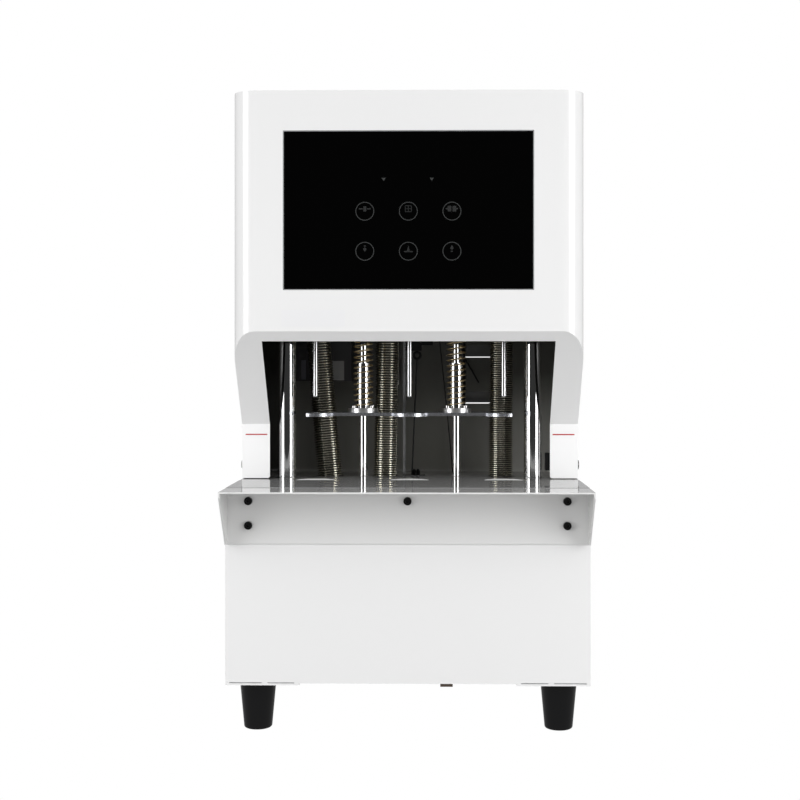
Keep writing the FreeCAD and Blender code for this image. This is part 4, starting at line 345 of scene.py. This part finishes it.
def rising(tree, value, start, stop, low, high):
    """A value that goes from low to high while another goes from start to stop."""
    node = tree.nodes.new("ShaderNodeMapRange")
    node.inputs["From Min"].default_value = start
    node.inputs["From Max"].default_value = stop
    node.inputs["To Min"].default_value = low
    node.inputs["To Max"].default_value = high
    tree.links.new(value, node.inputs["Value"])
    return node.outputs["Result"]


def object_place(tree):
    """Where a point is in the frame, in metres."""
    return tree.nodes.new("ShaderNodeTexCoord").outputs["Object"]


def parts_of(tree, vector):
    """The X, Y and Z of a vector."""
    split = tree.nodes.new("ShaderNodeSeparateXYZ")
    tree.links.new(vector, split.inputs["Vector"])
    return split.outputs


def noise_value(tree, scale, stretch, detail):
    """Noise in the frame's own coordinates."""
    mapping = tree.nodes.new("ShaderNodeMapping")
    mapping.inputs["Scale"].default_value = stretch
    noise = tree.nodes.new("ShaderNodeTexNoise")
    noise.inputs["Scale"].default_value = scale
    noise.inputs["Detail"].default_value = detail
    tree.links.new(object_place(tree), mapping.inputs["Vector"])
    tree.links.new(mapping.outputs["Vector"], noise.inputs["Vector"])
    return noise.outputs["Fac"]


def add_relief(material, scale, strength, distance, stretch):
    """Fine relief over the whole finish."""
    tree = material.node_tree
    bump = tree.nodes.new("ShaderNodeBump")
    bump.inputs["Strength"].default_value = strength
    bump.inputs["Distance"].default_value = distance
    tree.links.new(noise_value(tree, scale, stretch, RELIEF_DETAIL), bump.inputs["Height"])
    tree.links.new(bump.outputs["Normal"], shader_of(material).inputs["Normal"])


def add_streaks(material):
    """Lets the roughness wander."""
    tree = material.node_tree
    noise = noise_value(tree, STREAK_SCALE, STREAK_STRETCH, STREAK_DETAIL)
    rough = rising(tree, noise, *STREAK_NOISE, *STREAK_ROUGH)
    tree.links.new(rough, shader_of(material).inputs["Roughness"])


def lower_rougher(material, height, below, above):
    """A rougher finish under a height than over it, in millimetres from the table."""
    tree = material.node_tree
    z = parts_of(tree, object_place(tree))["Z"]
    border = height + TABLE_HEIGHT
    rough = rising(tree, z, (border - FLANGE_BORDER) * MM, (border + FLANGE_BORDER) * MM, below, above)
    tree.links.new(rough, shader_of(material).inputs["Roughness"])


def two_colours(material, factor, first, second):
    """A base colour that goes from first to second with a factor."""
    tree = material.node_tree
    mix = tree.nodes.new("ShaderNodeMix")
    mix.data_type = "RGBA"
    for socket, colour in (("A", first), ("B", second)):
        if isinstance(colour, tuple):
            mix.inputs[socket].default_value = (*colour, 1.0)
        else:
            tree.links.new(colour, mix.inputs[socket])
    tree.links.new(factor, mix.inputs["Factor"])
    tree.links.new(mix.outputs["Result"], shader_of(material).inputs["Base Color"])
    return mix.outputs["Result"]


def wall_painted_light(material):
    """The throat's liner: painted light makes it paler towards the table and the right, and painted shade
    makes it almost black at its left end.
    """
    tree = material.node_tree
    place = parts_of(tree, object_place(tree))
    x, z = place["X"], place["Z"]
    low = rising(tree, z, TABLE_HEIGHT * MM, (TABLE_HEIGHT + WALL_FADE) * MM, 1.0, 0.0)
    right = rising(tree, x, WALL_RIGHT_FROM * MM, WALL_RIGHT_TO * MM, 0.0, 1.0)
    back = two_colours(material, low, WALL_TOP, WALL_LIT_BOTTOM)
    pale = two_colours(material, combine(tree, "MULTIPLY", low, right), back, WALL_LIT_RIGHT)
    two_colours(material, combine(tree, "LESS_THAN", x, WALL_LEFT_END * MM), pale, LEFT_WALL_SHADE)


def shaded_top_colour(material, side, top):
    """Another colour on the faces that look up, used for painted shade on the shelf's top."""
    tree = material.node_tree
    normal = tree.nodes.new("ShaderNodeNewGeometry").outputs["Normal"]
    looks_up = combine(tree, "GREATER_THAN", parts_of(tree, normal)["Z"], LOOKING_UP)
    two_colours(material, looks_up, side, top)


def near_colour(material, outside, inside, centre, radius):
    """Another colour for the pieces near one point."""
    tree = material.node_tree
    away = tree.nodes.new("ShaderNodeVectorMath")
    away.operation = "DISTANCE"
    away.inputs[1].default_value = centre
    tree.links.new(object_place(tree), away.inputs[0])
    two_colours(material, combine(tree, "LESS_THAN", away.outputs["Value"], radius * MM), outside, inside)


def leg_lit_colour(material):
    """The white of the head, a little paler towards its legs: painted light for the light bounced up onto
    them from the table.
    """
    tree = material.node_tree
    z = parts_of(tree, object_place(tree))["Z"]
    low, high = (TABLE_HEIGHT + LEG_WHITE_TO) * MM, (TABLE_HEIGHT + WHITE_FROM) * MM
    return two_colours(material, rising(tree, z, low, high, 0.0, 1.0), LEG_LIT_WHITE, WHITE)


def inside_shade_colour(material, outside, inside, centre, margin):
    """Another colour on the faces of a shell that look towards a centre, here a dark one as painted shade for
    the dim light inside.
    """
    tree = material.node_tree
    normal = tree.nodes.new("ShaderNodeNewGeometry").outputs["Normal"]
    away = tree.nodes.new("ShaderNodeVectorMath")
    away.operation = "SUBTRACT"
    away.inputs[1].default_value = centre
    tree.links.new(object_place(tree), away.inputs[0])
    dot = tree.nodes.new("ShaderNodeVectorMath")
    dot.operation = "DOT_PRODUCT"
    tree.links.new(away.outputs["Vector"], dot.inputs[0])
    tree.links.new(normal, dot.inputs[1])
    two_colours(material, combine(tree, "LESS_THAN", dot.outputs["Value"], -margin), outside, inside)


def make_materials():
    m = {name: finish_of(name, colour, rough, **more) for name, (colour, rough, more) in FINISHES.items()}
    for name, relief in RELIEF.items():
        add_relief(m[name], *relief)
    add_streaks(m["polished_steel"])
    lower_rougher(m["bearing_steel"], FLANGE_TOP, FLANGE_ROUGH, TUBE_ROUGH)
    # Head shells: painted light makes the legs paler at their foot, and painted shade darkens their inner
    # faces
    for name, centre, margin in (("head_paint", HEAD_MIDDLE, HEAD_MARGIN),
                                 ("rear_paint", FAR_AHEAD, REAR_MARGIN)):
        inside_shade_colour(m[name], leg_lit_colour(m[name]), INSIDE_SHADE_GREY, at(*centre), margin)
    # Painted shade on the shelf's top
    shaded_top_colour(m["shelf_paint"], SHELF_WHITE, SHELF_TOP_SHADE)
    # Painted light and painted shade on the throat's liner
    wall_painted_light(m["grey_paint"])
    near_colour(m["mixed_fasteners"], PLATED, STRIP_SCREWS_BLACK, at(*STRIP_SCREWS), STRIP_SCREWS_R)
    return m


# Which finish each CAD node has
NODE_FINISH = {
    "white_paint": ("base_housing", "base_rear_panel", "foot_plates"),
    "shelf_paint": ("front_shelf",),
    "head_paint": ("head_cover",),
    "rear_paint": ("head_rear_cover",),
    "zinc_sheet": ("base_bottom_plate", "drawer_rails", "chip_drawer"),
    "grey_paint": ("throat_liner",),
    "black_rubber": ("rubber_feet", "drive_belts"),
    "polished_steel": ("columns", "guide_rods", "lift_screw"),
    "bearing_steel": ("press_bearings",),
    "ground_steel": ("press_plate",),
    "table_paint": ("table_plate",),
    "deck_paint": ("base_deck",),
    "pad_plastic": ("drill_pad_left", "drill_pad_centre", "drill_pad_right"),
    "satin_steel": ("sensor_bracket", "drill_left", "drill_centre",
                    "drill_right", "spindle_left", "spindle_centre", "spindle_right", "column_bearings"),
    "plated_fasteners": ("press_screws", "foot_screws"),
    "dark_fasteners": ("cover_screws",),
    "mixed_fasteners": ("frame_fasteners",),
    "black_fasteners": ("shelf_screws",),
    "aluminium": ("head_top_plate", "carriage_plate", "spindle_plate", "carriage_posts",
                  "spindle_housings", "motor_pulley"),
    "motor_black": ("spindle_motor", "lift_motor", "supply_box"),
    "brass": ("lift_nut",),
    "panel_black": ("touch_panel",),
    "black_plastic": ("hose_collars", "chip_elbows", "limit_switches", "power_inlet", "power_rocker",
                      "cable_tie", "sensor_cable", "wire_harness"),
    "brown_fibre": ("bottom_plug",),
    "board_green": ("control_board",),
}


def paint(obj, material):
    obj.data.materials.clear()
    obj.data.materials.append(material)


def paint_nodes(nodes, materials):
    for finish, names in NODE_FINISH.items():
        for name in names:
            paint(nodes[name], materials[finish])


# Meshes
def new_mesh(name, points, faces, material, smooth=False):
    mesh = bpy.data.meshes.new(name)
    mesh.from_pydata([tuple(p) for p in points], [], faces)
    mesh.update()
    if smooth:
        mesh.polygons.foreach_set("use_smooth", [True] * len(mesh.polygons))
    obj = bpy.data.objects.new(name, mesh)
    bpy.context.scene.collection.objects.link(obj)
    paint(obj, material)
    return obj


def flat_polygon(name, outline, y, material, depth=PRINT_DEPTH):
    """A thin printed shape on an upright face: outline is (x, z) points, anticlockwise from the front."""
    n = len(outline)
    front = [at(x, y - depth, z) for x, z in outline]
    back = [at(x, y, z) for x, z in outline]
    faces = [tuple(range(n)), tuple(reversed(range(n, 2 * n)))]
    faces += [(k, k + n, (k + 1) % n + n, (k + 1) % n) for k in range(n)]
    return new_mesh(name, front + back, faces, material)


def ring(name, cx, cz, radius, width, y, material):
    """A thin printed ring on an upright face."""
    sides = KEY_SIDES
    points, faces = [], []
    for layer in (y - PRINT_DEPTH, y):
        for r in (radius - width / 2, radius + width / 2):
            for k in range(sides):
                a = 2 * math.pi * k / sides
                points.append(at(cx + r * math.cos(a), layer, cz + r * math.sin(a)))
    for k in range(sides):
        n = (k + 1) % sides
        inner, outer, back_in, back_out = 0, sides, 2 * sides, 3 * sides
        faces.append((inner + k, outer + k, outer + n, inner + n))
        faces.append((outer + k, back_out + k, back_out + n, outer + n))
        faces.append((back_in + k, inner + k, inner + n, back_in + n))
        faces.append((back_out + k, back_in + k, back_in + n, back_out + n))
    return new_mesh(name, points, faces, material)


def rectangle(x0, x1, z0, z1):
    return [(x0, z0), (x1, z0), (x1, z1), (x0, z1)]


def join(name, objects):
    """One object out of several printed shapes, so that the scene stays easy to read."""
    bpy.ops.object.select_all(action="DESELECT")
    for obj in objects:
        obj.select_set(True)
    bpy.context.view_layer.objects.active = objects[0]
    bpy.ops.object.join()
    objects[0].name = name
    return objects[0]


def stroke(x0, z0, x1, z1, width):
    """The outline of a straight stroke between two points."""
    dx, dz = x1 - x0, z1 - z0
    length = math.hypot(dx, dz)
    nx, nz = -dz / length * width / 2, dx / length * width / 2
    return [(x0 + nx, z0 + nz), (x0 - nx, z0 - nz), (x1 - nx, z1 - nz), (x1 + nx, z1 + nz)]


def key_marks(kind, cx, cz):
    """The outlines of the little sign on a key whose middle is at cx, cz."""
    filled, strokes = SIGN_SHAPES[kind]
    outlines = [[(cx + x, cz + z) for x, z in outline] for outline in filled]
    outlines += [stroke(cx + x0, cz + z0, cx + x1, cz + z1, width) for x0, z0, x1, z1, width in strokes]
    return outlines


# Printed marks
def panel_marks(materials):
    """Six ring keys with their signs, and two pointer marks above them."""
    y = GLASS_Y - MARK_LIFT
    bright, dim = [], []
    for row, kinds in zip(KEY_ROWS, KEY_SIGNS):
        for x, kind in zip(KEY_COLUMNS, kinds):
            bright.append(ring("key_ring", x, row, KEY_R, KEY_LINE, y, materials["mark_grey"]))
            for outline in key_marks(kind, x, row):
                dim.append(flat_polygon("key_sign", outline, y, materials["mark_dim"]))
    for x in POINTER_X:
        top = POINTER_TIP + POINTER_RISE
        pointer = [(x, POINTER_TIP), (x + POINTER_HALF, top), (x - POINTER_HALF, top)]
        bright.append(flat_polygon("pointer", pointer, y, materials["mark_grey"]))
    for name, shapes in (("panel_keys", bright), ("panel_signs", dim)):
        whole = join(name, shapes)
        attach(whole, "frame")


def panel_edge(materials):
    """A thin pale line all round the glass: a painted highlight along its edge."""
    w = PANEL_EDGE
    y = GLASS_Y - MARK_LIFT
    x1, z0, z1 = PANEL_HALF, PANEL_BOTTOM, PANEL_TOP
    sides = [rectangle(-x1, x1, z0, z0 + w), rectangle(-x1, x1, z1 - w, z1),
             rectangle(-x1, -x1 + w, z0 + w, z1 - w), rectangle(x1 - w, x1, z0 + w, z1 - w)]
    pieces = [flat_polygon("edge", outline, y, materials["glass_edge_highlight"]) for outline in sides]
    whole = join("panel_edge", pieces)
    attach(whole, "frame")


def labels(materials):
    """Bare labels: one on the face, two on the supply box, and one with the height line on each leg."""
    pieces = [flat_polygon("face_label", rectangle(*FACE_LABEL), FACE_Y, materials["label_white"],
                           depth=FACE_LABEL_DEPTH),
              flat_polygon("box_label", rectangle(*BOX_LABEL), SUPPLY_Y, materials["label_grey"],
                           depth=BOX_LABEL_DEPTH),
              flat_polygon("box_mark", rectangle(*BOX_MARK), SUPPLY_Y, materials["label_dim"],
                           depth=BOX_LABEL_DEPTH)]
    for side in (-1, 1):
        x0, x1 = sorted((side * LEG_LABEL_INNER, side * LEG_LABEL_OUTER))
        label = rectangle(x0, x1, LEG_LABEL_BOTTOM, LEG_LABEL_TOP)
        line = rectangle(x0 + LEG_LINE_INSET, x1 - LEG_LINE_INSET, LEG_LINE_BOTTOM, LEG_LINE_TOP)
        pieces.append(flat_polygon("leg_label", label, LEG_Y, materials["leg_label"], depth=FACE_LABEL_DEPTH))
        pieces.append(flat_polygon("leg_line", line, LEG_LINE_Y, materials["mark_red"]))
    for piece in pieces:
        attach(piece, "frame")


def tube_mesh(name, path, radii, material, sides):
    """A tube along path with closed ends, whose radius may change from point to point."""
    points, faces = [], []
    side_dir = Vector((1.0, 0.0, 0.0))
    count = len(path)
    for k, p in enumerate(path):
        ahead = path[min(k + 1, count - 1)] - path[max(k - 1, 0)]
        ahead.normalize()
        side_dir = (side_dir - ahead * side_dir.dot(ahead)).normalized()
        other = ahead.cross(side_dir)
        r = radii[k]
        for j in range(sides):
            a = 2 * math.pi * j / sides
            points.append(p + side_dir * (r * math.cos(a)) + other * (r * math.sin(a)))
    for k in range(count - 1):
        for j in range(sides):
            n = (j + 1) % sides
            faces.append((k * sides + j, k * sides + n, (k + 1) * sides + n, (k + 1) * sides + j))
    faces.append(tuple(reversed(range(sides))))
    faces.append(tuple(range((count - 1) * sides, count * sides)))
    return new_mesh(name, points, faces, material, smooth=True)


# Springs and hoses
def springs(materials):
    """Two coils between the carriage and the press plate, riding on the carriage."""
    rise = SPRING_HIGH - SPRING_LOW
    climb = rise - 2 * SPRING_WIRE_R
    for side, x in (("left", -SPRING_X), ("right", SPRING_X)):
        length = int(climb / SPRING_PITCH[side] * STEPS_PER_TURN)
        path = []
        for k in range(length + 1):
            z = SPRING_LOW + SPRING_WIRE_R + climb * k / length
            a = math.radians(SPRING_START[side]) + 2 * math.pi * k / STEPS_PER_TURN
            path.append(at(x + SPRING_R * math.cos(a), ROD_LINE + SPRING_R * math.sin(a), z))
        wire = tube_mesh("spring_" + side, path, [SPRING_WIRE_R * MM] * len(path),
                         materials["spring_gold"], SPRING_WIRE_SIDES)
        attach(wire, "carriage")
        if side == "left":
            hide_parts("press_springs")
        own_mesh(wire)


def hose_x(side, z):
    """Where a hose's middle line is at a height: from its foot to its top, with a lean between."""
    bottom, top = HOSE_ENDS[side]
    t = (z - HOSE_BOTTOM) / (HOSE_TOP - HOSE_BOTTOM)
    return bottom + (top - bottom) * (t + HOSE_LEAN[side] * t * (1 - t))


def rib_heights(side):
    """Heights of a hose's wire turns, which stand closer where the hose is pressed together."""
    low, high = HOSE_PITCHES[side]
    heights = [HOSE_BOTTOM + low / 2]
    while heights[-1] < HOSE_TOP - high:
        t = min(max((heights[-1] - HOSE_BOTTOM) / HOSE_STRETCH_HEIGHT, 0.0), 1.0)
        heights.append(heights[-1] + low + (high - low) * t)
    return heights


def rib_outline():
    """One wire turn in section: steps up and out from the wire's middle, down to the skin at both ends."""
    foot = HOSE_SKIN_DEPTH - HOSE_WIRE_R
    outline = []
    for degrees in (-90, -60, -30, 0, 30, 60, 90):
        a = math.radians(degrees)
        sunk = foot if abs(degrees) == 90 else 0.0
        outline.append((HOSE_WIRE_R * HOSE_WIRE_SPREAD * math.sin(a), HOSE_WIRE_R * math.cos(a) - sunk))
    return outline


def hose_outline(side):
    """A hose's radius at each height, and which steps are wire."""
    skin = HOSE_R[side] - HOSE_SKIN_DEPTH
    middle_r = HOSE_R[side] - HOSE_WIRE_R
    heights, radii, on_wire = [HOSE_BOTTOM], [skin], []
    shape = rib_outline()
    for rib in rib_heights(side):
        first = len(heights)
        for step, radius in shape:
            heights.append(rib + step)
            radii.append(middle_r + radius)
        on_wire += range(first, first + len(shape) - 1)
    return heights + [HOSE_TOP], radii + [skin], on_wire


def hoses(materials):
    """Thin skins with a round wire turn at each rib."""
    for side in HOSE_R:
        heights, radii, on_wire = hose_outline(side)
        path = [at(hose_x(side, z), HOSE_LINE, z) for z in heights]
        hose = tube_mesh("hose_" + side, path, [r * MM for r in radii], materials["hose_olive"], HOSE_SIDES)
        hose.data.materials.append(materials["hose_wire"])
        for ring_at in on_wire:
            for k in range(HOSE_SIDES):
                hose.data.polygons[ring_at * HOSE_SIDES + k].material_index = 1
        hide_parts("chip_hose_" + side)
        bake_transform(hose)


# Surroundings
def floor_material():
    """White to the camera, and an even glow to everything else."""
    material = new_material("floor")
    tree = material.node_tree
    glow = tree.nodes.new("ShaderNodeEmission")
    path = tree.nodes.new("ShaderNodeLightPath")
    strength = rising(tree, path.outputs["Is Camera Ray"], 0.0, 1.0, FLOOR_GLOW, 1.0)
    tree.links.new(strength, glow.inputs["Strength"])
    tree.links.new(glow.outputs["Emission"], tree.nodes["Material Output"].inputs["Surface"])
    tree.nodes.remove(shader_of(material))
    return material


def make_floor():
    """A plain floor under the machine, which is no part of it."""
    corners = [Vector((x * FLOOR_HALF, y * FLOOR_HALF, 0)) for x, y in ((-1, -1), (1, -1), (1, 1), (-1, 1))]
    floor = new_mesh("floor", corners, [(0, 1, 2, 3)], floor_material())


def make_world():
    """White behind the machine, a soft dome for diffuse light and a dark room for reflections."""
    world = bpy.data.worlds.new("surroundings")
    bpy.context.scene.world = world
    world.use_nodes = True
    tree = world.node_tree
    background = tree.nodes["Background"]
    direction = parts_of(tree, tree.nodes.new("ShaderNodeTexCoord").outputs["Generated"])
    y, z = direction["Y"], direction["Z"]
    path = tree.nodes.new("ShaderNodeLightPath")
    above = combine(tree, "MULTIPLY", combine(tree, "MAXIMUM", z, 0.0), DOME_UP)
    dome = combine(tree, "ADD", above, DOME_BASE)
    room = combine(tree, "ADD", rising(tree, y, ROOM_SIDES_FROM, ROOM_SIDES_TO, ROOM_FRONT, ROOM_SIDES),
                   rising(tree, y, ROOM_BACK_FROM, ROOM_BACK_TO, 0.0, ROOM_BACK - ROOM_SIDES))
    glossy = path.outputs["Is Glossy Ray"]
    camera = path.outputs["Is Camera Ray"]
    from_dome = combine(tree, "MULTIPLY", dome, combine(tree, "SUBTRACT", 1.0, glossy))
    from_room = combine(tree, "MULTIPLY", room, glossy)
    unseen = combine(tree, "ADD", from_dome, from_room)
    hidden = combine(tree, "MULTIPLY", unseen, combine(tree, "SUBTRACT", 1.0, camera))
    tree.links.new(combine(tree, "ADD", hidden, camera), background.inputs["Strength"])
    background.inputs["Color"].default_value = (1.0, 1.0, 1.0, 1.0)


def add_box_light(name, azimuth, elevation, radiance, width, height, distance, aim):
    """A soft box at azimuth degrees from the front, turned to face aim."""
    light = bpy.data.lights.new(name, "AREA")
    light.shape = "RECTANGLE"
    light.size = width
    light.size_y = height
    light.energy = radiance * math.pi * width * height
    obj = bpy.data.objects.new(name, light)
    bpy.context.scene.collection.objects.link(obj)
    a, e = math.radians(azimuth), math.radians(elevation)
    away = Vector((math.sin(a) * math.cos(e), -math.cos(a) * math.cos(e), math.sin(e)))
    obj.location = aim + away * distance
    obj.rotation_euler = (-away).to_track_quat("-Z", "Y").to_euler()
    obj.visible_camera = False
    return obj


def make_lights():
    aim = at(*LIGHTS_AIM)
    for name, azimuth, radiance in (("box_left", -BOX_AZIMUTH, BOX_LEFT),
                                    ("box_right", BOX_AZIMUTH, BOX_RIGHT)):
        add_box_light(name, azimuth, BOX_ELEVATION, radiance, BOX_WIDTH, BOX_HEIGHT, BOX_DISTANCE, aim)
    low = add_box_light("low_panel", 0.0, -LOW_PANEL_DROP, LOW_PANEL, LOW_PANEL_WIDTH, LOW_PANEL_HEIGHT,
                        LOW_PANEL_DISTANCE, aim)
    low.visible_glossy = False


def make_camera():
    data = bpy.data.cameras.new("camera")
    data.lens = LENS_MM
    data.sensor_width = SENSOR_MM
    data.shift_x = SHIFT_X
    data.shift_y = SHIFT_Y
    data.clip_start = CAMERA_NEAR
    data.clip_end = CAMERA_FAR
    obj = bpy.data.objects.new("camera", data)
    bpy.context.scene.collection.objects.link(obj)
    turn = Matrix.Rotation(math.radians(CAMERA_YAW), 4, "Z") @ Matrix.Rotation(math.pi / 2, 4, "X")
    obj.matrix_world = Matrix.Translation(at(CAMERA_X, CAMERA_Y, CAMERA_Z)) @ turn
    bpy.context.scene.camera = obj


def render_settings():
    scene = bpy.context.scene
    scene.render.engine = "CYCLES"
    scene.render.resolution_x = PICTURE_SIDE
    scene.render.resolution_y = PICTURE_SIDE
    scene.render.film_transparent = False
    scene.view_settings.view_transform = "Standard"
    scene.cycles.max_bounces = 12
    scene.cycles.diffuse_bounces = 5
    scene.cycles.glossy_bounces = 8
    scene.cycles.transmission_bounces = 8
    scene.cycles.sample_clamp_indirect = 8.0


def clear_scene():
    for obj in list(bpy.data.objects):
        bpy.data.objects.remove(obj, do_unlink=True)


def main():
    clear_scene()
    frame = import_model()
    materials = make_materials()
    paint_nodes(frame["nodes"], materials)
    panel_marks(materials)
    panel_edge(materials)
    labels(materials)
    springs(materials)
    hoses(materials)
    make_floor()
    make_world()
    make_lights()
    make_camera()
    render_settings()


main()
